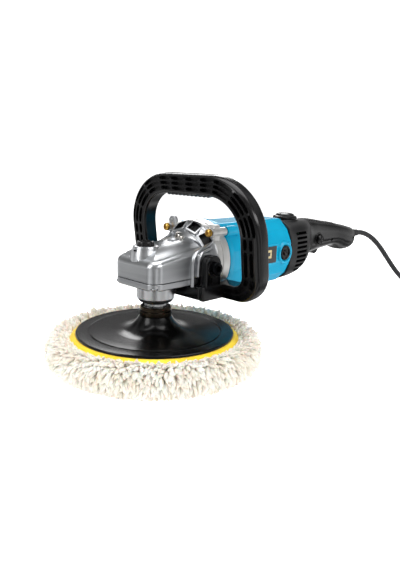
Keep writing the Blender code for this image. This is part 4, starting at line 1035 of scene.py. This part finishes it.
# Motor housing.
def motorHousing():
    w, h, z = 40.5, 40, motorHeight
    quarter = [(w, 0.27 * h), (0.82 * w, 0.68 * h), (0.5 * w, h)]
    corners = ([(a, b) for a, b in quarter] + [(-a, b) for a, b in reversed(quarter)]
               + [(-a, -b) for a, b in quarter] + [(a, -b) for a, b in reversed(quarter)])
    body = prism("motorHousing", rounded([(a, z + b, 5.5) for a, b in corners], 4), 74, 190, alongX)
    bevelWhere(body, lambda p: p.x > 189.9, 1.2, 3)
    flange = turned("flange", [(30, 70.3), (42.8, 70.3), (43.5, 71), (43.5, 76.5), (42.6, 78),
                               (39, 80.4), (30, 80.6)], 96, onAxisX(0, 0, z))
    weldOn(body, flange)
    for angle in (-45, 45, 135, 225):
        _, y0, z0 = aroundDrum(angle, headPlan["earCircle"])
        # a boss for each flange screw, fading back into the casing
        _, y1, z1 = aroundDrum(angle, headPlan["earCircle"] - 8)
        weldOn(body, tube("screwBoss", [(70.3, y0, z0), (71, y0, z0), (82, y0, z0), (88, y0, z0),
                                        (96, between(y0, y1, 0.5), between(z0, z1, 0.5)),
                                        (104, y1, z1)], [5.4, 6, 6, 5.6, 4.2, 1.6], 24))
    for side in (-1, 1):
        panel = sideBlock("labelPanel", side, (92, 36, 92), (161, 40.9, 118), 1.5)
        weldOn(body, panel)
        cutWith(body, sideBlock("labelRecess", side, (95.8, 40.55, 94.8), (158.2, 44, 115.2),
                                0.3, 1))
        boss = turned("brushBoss", [(9.5, 30), (14.8, 30), (14.8, 37), (13.9, 40), (13.4, 42.2),
                                    (12.6, 43), (11.2, 43), (10.4, 42.4), (9.5, 41.2)], 64,
                      onAxisY(brushX, 0, z, back=side < 0))
        weldOn(body, boss)
        cutWith(body, rod("capBore", (brushX, side * 34, z), (brushX, side * 50, z), 9.5, sides=64))
        # long ribs low on the side, as moulded grips
        for height in (84, 88.4):
            weldOn(body, sideBlock("rib", side, (104, 30, height - 0.9),
                                   (156, 36.6, height + 0.9), 0.5, 2))
    inner = prism("space", rounded([(a * 0.9, z + b * 0.9, 5) for a, b in corners], 4), 60, 186.5,
                  alongX)
    cutWith(body, inner)
    cutWith(body, rod("rearMouth", (180, 0, z), (195, 0, z), 34, sides=64))
    return finished(body, "machine", [blueNylon], ["motor_housing"], smooth=34)


def namePlates():
    for side, word in sides.items():
        plate = sideBlock("namePlate" + word, side, (96, 40.75, 95), (158, 41.5, 115))
        bevelWhere(plate, lambda p: True, 0.3, 2)
        finished(plate, "machine", [label], ["nameplate_" + word.lower()])


def brushCaps():
    for side, word in sides.items():
        profile = [(0, 37.8), (8.6, 37.8), (9.2, 38.4), (9.2, 42.2), (8.7, 43.0), (7.6, 43.3),
                   (6.9, 42.9), (6.7, 42.0), (3.9, 41.9), (3.6, 43.2), (3.2, 43.6), (0, 43.6)]
        cap = turned("brushCap" + word, profile, 56, onAxisY(brushX, 0, motorHeight, back=side < 0))
        cutWith(cap, placed(block("slot", (-5.6, -1.0, -1.4), (5.6, 1.0, 1.4)),
                            Matrix.Translation((brushX * mm, side * 43.6 * mm, motorHeight * mm))
                            @ Matrix.Rotation(math.radians(35), 4, "Y")))
        finished(cap, "machine", [glossBlack], ["brush_cap_" + word.lower()])


headScrews()
gearHousing()
nameClip()
gearCaseCover()
shaftLockButton()
print("gear head made")
motorHousing()
namePlates()
brushCaps()
print("motor housing made")


# Rear housing, dial and grip.
rearPlan = {
    "front": 190.3, "back": 261.7, "power": 3.0,
    # share of the length, half width, low, high from the axis
    "rows": [(0, 40.3, -39.8, 39.8), (0.136, 40, -39.4, 36.5), (0.332, 39.4, -38, 35),
             (0.542, 38, -34.5, 35), (0.724, 34.5, -27.5, 35), (0.864, 29.5, -20.5, 34.6),
             (1, 24, -15, 34)],
    "louvres": 9,
}
gripPlan = {
    "front": 262, "length": 142, "power": 2.5,
    "rows": [(0, 23.4, -14.6, 33.8), (0.07, 21.6, -15.4, 33.6), (0.155, 20.4, -15.4, 32.6),
             (0.268, 19, -13.4, 30.2), (0.408, 18, -11.6, 27.4), (0.556, 17.8, -10.4, 24.6),
             (0.662, 18.4, -13, 22.4), (0.746, 19, -17.4, 20.6), (0.831, 19.2, -19.6, 18.6),
             (0.915, 18.6, -19, 16), (0.972, 16.6, -16.4, 14.6), (1, 13.6, -12.4, 12.2)],
}


def ovalRing(x, halfWidth, low, high, power, count=64, wall=0.0):
    halfWidth, low, high = halfWidth - wall, low + wall, high - wall
    middle, half = (low + high) / 2, (high - low) / 2
    ring = []
    for step in range(count):
        angle = fullTurn * step / count
        c, s = math.cos(angle), math.sin(angle)
        ring.append((x, halfWidth * math.copysign(abs(c) ** (2 / power), c),
                     motorHeight + middle + half * math.copysign(abs(s) ** (2 / power), s)))
    return ring


def shaped(name, front, length, rows, power, wall=0.0, steps=3, first=0.0, last=1.0):
    # a hollow or solid made of ovals; rows between the given ones are smoothed in
    line = smoothPath([(row[0], row[1], row[2]) for row in rows], steps)
    tops = smoothPath([(row[0], row[3], 0) for row in rows], steps)
    rings = [ovalRing(front + length * a.x, a.y, a.z, b.y, power, wall=wall)
             for a, b in zip(line, tops) if first <= a.x <= last]
    return wrapped(name, rings)


def rearHousing():
    plan = rearPlan
    front, back = plan["front"], plan["back"]
    body = shaped("rearHousing", front, back - front, plan["rows"], plan["power"])
    bevelWhere(body, lambda p: p.x < front + 0.05, 1.2, 3)
    # raised seat for the dial
    weldOn(body, turned("dialSeat", [(0, 130), (19.4, 130), (19.0, 138.4), (17.6, 140), (16.2, 140.1),
                                     (0, 140.1)], 64, Matrix.Translation((dialX * mm, 0, 0))))
    inner = shaped("space", front - 6, back - front + 6, plan["rows"], plan["power"], wall=3.2,
                   last=0.95)
    cutWith(body, inner)
    cutWith(body, rod("dialStem", (dialX, 0, 120), (dialX, 0, 150), 3.3, sides=28))
    for side in (-1, 1):
        slots = []
        for number in range(plan["louvres"]):
            z = 125.5 - 5.9 * number
            slots.append(sideBlock("louvre", side, (205.5, 22, z - 1.75),
                                   (231.5, 46, z + 1.75), 0.5, 2))
        cutWith(body, together("louvres", slots))
    return finished(body, "machine", [satinBlack], ["rear_housing"], smooth=36)


def speedDial():
    profile = [(0, 134.4), (3, 134.4), (3, 140.3), (14.8, 140.3), (15.8, 140.9), (16, 141.6), (16, 143.4),
               (15.4, 144.3), (13.6, 144.9), (12.4, 145.2), (12.0, 146.4), (11.2, 147.3), (8.4, 148.1),
               (4, 148.4), (0, 148.4)]
    dial = turned("speedDial", profile, 72, Matrix.Translation((dialX * mm, 0, 0)))
    master = block("notch", (15.2, -0.55, 140), (17.4, 0.55, 144.2), 0.2, 1)
    notches = [copied(master, Matrix.Translation((dialX * mm, 0, 0))
                      @ Matrix.Rotation(fullTurn * number / 30, 4, "Z")) for number in range(30)]
    bpy.data.objects.remove(master)
    cutWith(dial, together("notches", notches))
    cutWith(dial, block("pointer", (217.8, -0.6, 147.2), (224.5, 0.6, 150), 0.2, 1))
    return finished(dial, "dial", [glossBlack], ["speed_dial"])


def gripShells():
    plan = gripPlan
    front, length = plan["front"], plan["length"]
    whole = shaped("grip", front, length, plan["rows"], plan["power"], steps=4)
    bevelWhere(whole, lambda p: p.x > front + length - 0.05, 1.4, 3)
    # anti-slip nubs along the top
    nub = turned("nub", [(0, -0.9), (1.0, -0.9), (1.0, 0.1), (0.8, 0.55), (0.4, 0.75), (0, 0.8)], 10)
    line = smoothPath([(row[0] * length + front, row[1], row[3]) for row in plan["rows"]], 6)
    nubs = []
    for column in range(24):
        x = 276 + column * 3.1
        at = min(line, key=lambda p: abs(p.x - x))
        for row in range(-4, 5):
            y = row * 2.5 + (1.25 if column % 2 else 0)
            if abs(y) < 0.8 or abs(y) > 10.6:
                continue
            share = abs(y) / at.y
            curve = 1 - (1 - share ** plan["power"]) ** (1 / plan["power"])
            z = motorHeight + at.z - (at.z + 12) / 2 * curve
            nubs.append(copied(nub, Matrix.Translation((x * mm, y * mm, z * mm))))
    bpy.data.objects.remove(nub)
    weldOn(whole, together("nubs", nubs))
    # raised collar round the lock-on button
    weldOn(whole, turned("buttonCollar", [(0, 12), (9.4, 12), (9.4, 20.2), (8.6, 21.2), (7.4, 21.2),
                                          (6.9, 20.4), (6.9, 14), (0, 14)], 48,
                         onAxisY(buttonPlace[0], 0, buttonPlace[1], back=True)))
    # hollow inside, with mouths for the switch, the buttons and the cord guard
    inner = shaped("space", front, length, plan["rows"], plan["power"], wall=2.8, first=0.02,
                   last=0.97)
    cutWith(whole, inner)
    cutWith(whole, rod("frontMouth", (255, 0, 114), (272, 0, 114), 15, sides=48))
    cutWith(whole, block("triggerSlot", (281, -7.6, 80), (313.5, 7.6, 101), 0.4, 1))
    cutWith(whole, rod("buttonBore", (buttonPlace[0], -12, buttonPlace[1]),
                       (buttonPlace[0], -30, buttonPlace[1]), 6.9, sides=48))
    cutWith(whole, rod("guardBore", (395, 0, cordHeight), (412, 0, cordHeight), 6.7, sides=48))
    cutWith(whole, rod("guardSeat", (391, 0, cordHeight), (394, 0, cordHeight), 7.8, sides=48))
    for y in (-13, 13):
        for x, z in ((272, 96.5), (330, 106), (392, 104)):
            cutWith(whole, rod("screwWell", (x, math.copysign(11, y), z),
                               (x, math.copysign(30, y), z), 2.4, sides=20))
    for side, word in sides.items():
        half = copied(whole, Matrix.Identity(4), "gripShell" + word)
        cutWith(half, sideBlock("half", side, (250, 0.15, 60), (420, 60, 170)), "INTERSECT")
        finished(half, "machine", [glossBlack, satinBlack],
                 ["handle_shell_" + word.lower()], smooth=34,
                 paint=[(1, lambda c, n: 272 < c.x < 352 and n.z > 0.72)])
    bpy.data.objects.remove(whole)


def trigger():
    pinX, pinZ = triggerPin
    outline = [(-2.2, 1.6), (2, 3), (24, 3.6), (27, 2.2), (26.4, -4), (22, -9.2), (17, -10.4),
               (12, -9), (6, -6.2), (-1.6, -3.6)]
    lever = prism("trigger", rounded([(pinX + x, pinZ + z, 2.2) for x, z in outline], 3), -7.2, 7.2,
                  alongY)
    soften(lever, 1.1, 50, 3)
    grooves = [block("groove", (pinX + x, -4.6, pinZ + z - 0.7),
                     (pinX + x + 1.1, 4.6, pinZ + z + 0.7))
               for x, z in ((9, -8.6), (12.5, -9.9), (16, -10.9))]
    cutWith(lever, together("grooves", grooves))
    # seat that lets the return spring sink into the lever at full pull
    cutWith(lever, rod("springSeat", (303, 0, 98.9), (303, 0, 106), 3.4, sides=32))
    return finished(lever, "trigger", [glossBlack], ["trigger"])


def lockOnButton():
    button = turned("lockOnButton", [(0, 14), (5, 14), (5, 17.6), (6.5, 17.6), (6.5, 23.6), (6.1, 24.6),
                                     (5.2, 25.1), (4.4, 24.8), (3.8, 24.3), (2.4, 25.2), (0, 25.6)], 48,
                    onAxisY(buttonPlace[0], 0, buttonPlace[1], back=True))
    return finished(button, "lock_on", [glossBlack], ["lock_on_button"])


rearHousing()
speedDial()
gripShells()
trigger()
lockOnButton()
print("rear housing and grip made")


# Loop handle and its bolts.
loopPlan = {
    "half": 98.5, "top": 200, "bottom": 67, "sideBar": 25, "topBar": 22, "armBar": 17.8,
    "depth": 20, "lean": -7.5, "armEnd": 39.5,
    "outerTop": 64, "innerTop": 41, "outerLow": 33, "innerLow": 13,
    "edge": 3.4, "slotDepth": 5.0,
}
loopPlace = (Matrix.Translation((65 * mm, 0, 67 * mm))
             @ Matrix.Rotation(math.radians(loopPlan["lean"]), 4, "Y")
             @ Matrix.Translation((0, 0, -67 * mm))
             @ Matrix(((0, 0, 1, 0), (1, 0, 0, 0), (0, 1, 0, 0), (0, 0, 0, 1))))


def loopStations():
    # pairs of outer and inner points round half the loop, from the arm's end to the top's middle,
    # with the length run so far along the middle of the bar
    p = loopPlan
    innerSide, innerTop, innerLow = (p["half"] - p["sideBar"], p["top"] - p["topBar"],
                                     p["bottom"] + p["armBar"])

    def straight(a, b, c, d, count):
        return [((between(a[0], b[0], k / count), between(a[1], b[1], k / count)),
                 (between(c[0], d[0], k / count), between(c[1], d[1], k / count)))
                for k in range(count)]

    def corner(outer, outerRadius, inner, innerRadius, low, high, count):
        found = []
        for k in range(count):
            angle = math.radians(between(low, high, k / count))
            c, s = math.cos(angle), math.sin(angle)
            found.append(((outer[0] + outerRadius * c, outer[1] + outerRadius * s),
                          (inner[0] + innerRadius * c, inner[1] + innerRadius * s)))
        return found

    outerLow = (p["half"] - p["outerLow"], p["bottom"] + p["outerLow"])
    innerLowCentre = (innerSide - p["innerLow"], innerLow + p["innerLow"])
    outerTop = (p["half"] - p["outerTop"], p["top"] - p["outerTop"])
    innerTopCentre = (innerSide - p["innerTop"], innerTop - p["innerTop"])
    stations = straight((p["armEnd"], p["bottom"]), (outerLow[0], p["bottom"]),
                        (p["armEnd"], innerLow), (innerLowCentre[0], innerLow), 6)
    stations += corner(outerLow, p["outerLow"], innerLowCentre, p["innerLow"], -90, 0, 12)
    stations += straight((p["half"], outerLow[1]), (p["half"], outerTop[1]),
                         (innerSide, innerLowCentre[1]), (innerSide, innerTopCentre[1]), 8)
    stations += corner(outerTop, p["outerTop"], innerTopCentre, p["innerTop"], 0, 90, 18)
    stations += straight((outerTop[0], p["top"]), (0, p["top"]),
                         (innerTopCentre[0], innerTop), (0, innerTop), 8)
    stations.append(((0, p["top"]), (0, innerTop)))
    run, lengths = 0, []
    middles = [Vector(((a[0] + b[0]) / 2, (a[1] + b[1]) / 2)) for a, b in stations]
    for number, middle in enumerate(middles):
        run += (middle - middles[number - 1]).length if number else 0
        lengths.append(run)
    return stations, lengths


def acrossBar(pair, share, depth, side=1):
    # a place on the bar: share 0 is the outer edge and 1 the inner; depth is along its thickness
    outer, inner = pair
    return (side * between(outer[0], inner[0], share), between(outer[1], inner[1], share), depth)


def barRing(pair, side, edge):
    # rounded section: wide soft outer edge, tighter inner edge
    outer, inner = pair
    width = math.hypot(outer[0] - inner[0], outer[1] - inner[1])
    half = loopPlan["depth"] / 2
    section = rounded([(0, -half, edge * 1.9), (width, -half, edge), (width, half, edge),
                       (0, half, edge * 1.9)], 5)
    return [acrossBar(pair, a / width, b, side) for a, b in section]


def pairAt(stations, lengths, run):
    for number in range(1, len(lengths)):
        if lengths[number] >= run:
            share = (run - lengths[number - 1]) / (lengths[number] - lengths[number - 1])
            (a, b), (c, d) = stations[number - 1], stations[number]
            return ((between(a[0], c[0], share), between(a[1], c[1], share)),
                    (between(b[0], d[0], share), between(b[1], d[1], share)))
    return stations[-1]


def slotTool(stations, lengths, side, low, high, firstShare, lastShare, front):
    # a sunk slot between two runs along the bar, in its front or back face
    half = loopPlan["depth"] / 2
    count = max(2, int((high - low) / 3.5))
    deep, proud = half - loopPlan["slotDepth"], half + 4
    rings = []
    for step in range(count + 1):
        share = step / count
        pair = pairAt(stations, lengths, between(low, high, share))
        tight = 0.03 if step in (0, count) else 0
        rings.append([acrossBar(pair, firstShare + tight, front * deep, side),
                      acrossBar(pair, lastShare - tight, front * deep, side),
                      acrossBar(pair, lastShare - tight, front * proud, side),
                      acrossBar(pair, firstShare + tight, front * proud, side)])
    return wrapped("slot", rings)


def loopHandle():
    p = loopPlan
    stations, lengths = loopStations()
    whole = [(pair, -1) for pair in stations] + [(pair, 1) for pair in reversed(stations[:-1])]
    bar = wrapped("loopHandle", [barRing(pair, side, p["edge"]) for pair, side in whole])
    placed(bar, loopPlace)
    for side in (-1, 1):
        weldOn(bar, sideBlock("foot", side, (25, 39.4, 67.6), (72, 46.4, 83.4), 1.8))
        outline = rounded([(29.6, 72, 1), (52.4, 72, 1), (52.4, 115.6, 10.4),
                           (29.6, 115.6, 10.4)], 8)
        lug = prism("lug", outline, *sorted((side * 37.2, side * 45.9)), alongY)
        bevelWhere(lug, lambda point: abs(point.y) > 45.8, 1.4, 3)
        weldOn(bar, lug)
    weldOn(bar, block("saddle", (24.4, -40.8, 68.2), (39.7, 40.8, 82.6), 2.2))
    # finger bumps under the top bar
    under = p["top"] - p["topBar"] + 0.7
    bumps = [rod("bump", (y, under, -7), (y, under, 7), 2.6, sides=20, edge=1.0)
             for y in range(-30, 31, 6)]
    weldOn(bar, placed(together("bumps", bumps), loopPlace))
    total = lengths[-1]
    arm, low, sideEnd = lengths[6], lengths[18], lengths[26]
    tools = []
    for front in (-1, 1):
        for side in (-1, 1):
            # arms and low corner: two rows
            for start, end in ((9.5, arm - 1), (arm + 1.5, arm + 21), (arm + 24, low - 3)):
                for a, b in ((0.2, 0.46), (0.56, 0.82)):
                    tools.append(slotTool(stations, lengths, side, start, end, a, b, front))
            # side bar: two rows
            for start, end in ((low, low + 26), (low + 28.4, sideEnd + 2)):
                for a, b in ((0.3, 0.49), (0.6, 0.79)):
                    tools.append(slotTool(stations, lengths, side, start, end, a, b, front))
            # corner and half of the top: three rows
            stops = [sideEnd + 4.4, sideEnd + 27, sideEnd + 52, sideEnd + 77, total - 20.6]
            for number, start in enumerate(stops):
                end = stops[number + 1] - 2.2 if number + 1 < len(stops) else total - 1.1
                for a, b in ((0.13, 0.3), (0.37, 0.54), (0.61, 0.79)):
                    tools.append(slotTool(stations, lengths, side, start, end, a, b, front))
    cutWith(bar, placed(together("slots", tools), loopPlace))
    for side in (-1, 1):
        # holes for small screws in the outer edge low down
        cutWith(bar, placed(rod("screwHole", (side * 88, 92, -7.4), (side * 88, 92, -14), 2.9,
                                sides=24), loopPlace))
        # two sunk panels beside the bolt, with upright ribs left between them
        for low0, high0 in ((31.2, 34.4), (36.0, 38.4), (46.6, 50.6)):
            top = 108 if low0 < 40 else 104
            cutWith(bar, sideBlock("panel", side, (low0, 43.4, 84), (high0, 50, top), 0.7, 2))
        profile = [(4.6, 40), (10.4, 40), (10.4, 45.4), (9.6, 46.2), (8.4, 46.2), (4.6, 46.2)]
        weldOn(bar, turned("boltBoss", profile, 48, onAxisY(bolt[0], 0, bolt[1], back=side < 0)))
        cutWith(bar, rod("boltHole", (bolt[0], side * 30, bolt[1]),
                         (bolt[0], side * 60, bolt[1]), 4.6, sides=40))
    return finished(bar, "machine", [glossBlack], ["loop_handle"], smooth=36)


def loopBolts():
    for side, word in sides.items():
        profile = [(0, 28), (3.4, 28), (4, 28.8), (4, 46.3), (6.8, 46.3), (7.2, 46.7), (7.2, 50.0),
                   (6.6, 50.9), (5.6, 51.2), (0, 51.2)]
        piece = turned("loopBolt" + word, profile, 48, onAxisY(bolt[0], 0, bolt[1], back=side < 0))
        socket = rod("socket", (bolt[0], side * 47.6, bolt[1]), (bolt[0], side * 56, bolt[1]), 4.0, sides=6)
        cutWith(piece, socket)
        finished(piece, "machine", [blackenedSteel], ["loop_bolt_" + word.lower()])


loopHandle()
loopBolts()
print("loop handle made")


# The pieces inside keep their shape and get their real finishes.
insideFinishes = {
    "spindle": groundSteel, "spindle_gear": oiledSteel, "spindle_seal": mattRubber,
    "bevel_ring_gear": oiledSteel, "intermediate_shaft": groundSteel,
    "spindle_lower_bearing": groundSteel, "spindle_upper_bearing": groundSteel,
    "intermediate_lower_bearing": groundSteel, "intermediate_upper_bearing": groundSteel,
    "armature_front_bearing": groundSteel, "armature_rear_bearing": groundSteel,
    "armature_shaft": groundSteel, "armature_core": laminatedSteel, "field_core": laminatedSteel,
    "commutator": wornCopper, "carbon_brush_left": pressedCarbon, "carbon_brush_right": pressedCarbon,
    "brush_holder_left": drawnBrass, "brush_holder_right": drawnBrass, "cooling_fan": satinBlack,
    "fan_baffle": satinBlack, "switch_body": satinBlack, "speed_control_unit": phenolicBoard,
    "shaft_lock_spring": nickelClip, "trigger_spring": nickelClip,
}
for name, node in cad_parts.items():
    if node.hide_render:
        continue
    finish = insideFinishes[name]
    node.data.materials.clear()
    node.data.materials.append(finish)
print("inner pieces finished")


# Studio.
def studio():
    floorMaterial, tree, shader = newMaterial("studio_floor", {"Roughness": 0.9})
    place = addNode(tree, "ShaderNodeTexCoord").outputs["Object"]
    cloud = addNode(tree, "ShaderNodeTexNoise", {"Scale": 2.0}, {"Vector": place}).outputs[0]
    tree.links.new(ramp(tree, cloud, 0.3, 0.7, grey(0.90), grey(0.92)), shader.inputs["Base Color"])
    # a lit sweep: the floor glows a little, as a light table does
    shader.inputs["Emission Color"].default_value = grey(1.0)
    shader.inputs["Emission Strength"].default_value = 0.85
    clearSelection()
    bpy.ops.mesh.primitive_circle_add(vertices=96, radius=6, fill_type="NGON")
    floor = bpy.context.object
    floor.name = "studioFloor"
    floor.data.materials.append(floorMaterial)
    floor.visible_glossy = False

    # far white wall, for the camera only
    wallMaterial, tree, shader = newMaterial("studio_wall", {"Roughness": 1.0,
                                                             "Emission Strength": 1.0})
    shader.inputs["Emission Color"].default_value = grey(1.0)
    clearSelection()
    bpy.ops.mesh.primitive_cylinder_add(vertices=96, radius=5.9, depth=8, end_fill_type="NOTHING",
                                        location=(0, 0, 3.9))
    wall = bpy.context.object
    wall.name = "studioWall"
    wall.data.materials.append(wallMaterial)
    wall.visible_diffuse = wall.visible_glossy = wall.visible_shadow = False

    world = bpy.data.worlds.new("studio")
    bpy.context.scene.world = world
    world.use_nodes = True
    tree = world.node_tree
    background = tree.nodes["Background"]
    direction = addNode(tree, "ShaderNodeTexCoord").outputs["Generated"]
    height = addNode(tree, "ShaderNodeSeparateXYZ", links={0: direction}).outputs["Z"]
    sky = addNode(tree, "ShaderNodeValToRGB", links={0: height})
    stops = sky.color_ramp.elements
    stops[0].position, stops[0].color = 0.0, grey(0.55)
    stops[1].position, stops[1].color = 0.03, grey(0.48)
    for position, value in ((0.12, 0.34), (0.40, 0.16), (0.8, 0.32)):
        stop = stops.new(position)
        stop.color = grey(value)
    tree.links.new(sky.outputs["Color"], background.inputs["Color"])
    # flags and cards standing round the object: soft dark and bright bands in the reflections
    cards = addNode(tree, "ShaderNodeTexNoise", {"Scale": 2.6, "Detail": 0.0}, {"Vector": direction})
    bands = addNode(tree, "ShaderNodeMapRange", {"From Min": 0.38, "From Max": 0.62, "To Min": 0.35,
                                                 "To Max": 2.0}, {"Value": cards.outputs[0]})
    tree.links.new(bands.outputs[0], background.inputs["Strength"])

    lights = {
        # name: place, aimed at, width, height, watts
        "topSoftbox": ((0.05, -0.1, 1.3), (0.1, 0, 0.1), 1.2, 1.0, 13),
        "leftSoftbox": ((-1.1, 0.25, 0.75), (0, 0, 0.1), 0.5, 0.9, 7),
        "frontStrip": ((0.15, -1.25, 0.75), (0.15, 0, 0.1), 1.1, 0.35, 8),
        "backStrip": ((0.9, 0.9, 0.8), (0.1, 0, 0.1), 0.9, 0.3, 6),
    }
    for name, (place, target, width, height, watts) in lights.items():
        data = bpy.data.lights.new(name, "AREA")
        data.shape = "RECTANGLE"
        data.size = width
        data.size_y = height
        data.energy = watts
        lamp = bpy.data.objects.new(name, data)
        bpy.context.scene.collection.objects.link(lamp)
        lamp.location = place
        lamp.rotation_euler = (Vector(target) - Vector(place)).to_track_quat("-Z", "Y").to_euler()
    bpy.context.scene.view_settings.view_transform = "Standard"
    bpy.context.scene.view_settings.look = "None"


studio()
print("studio set")
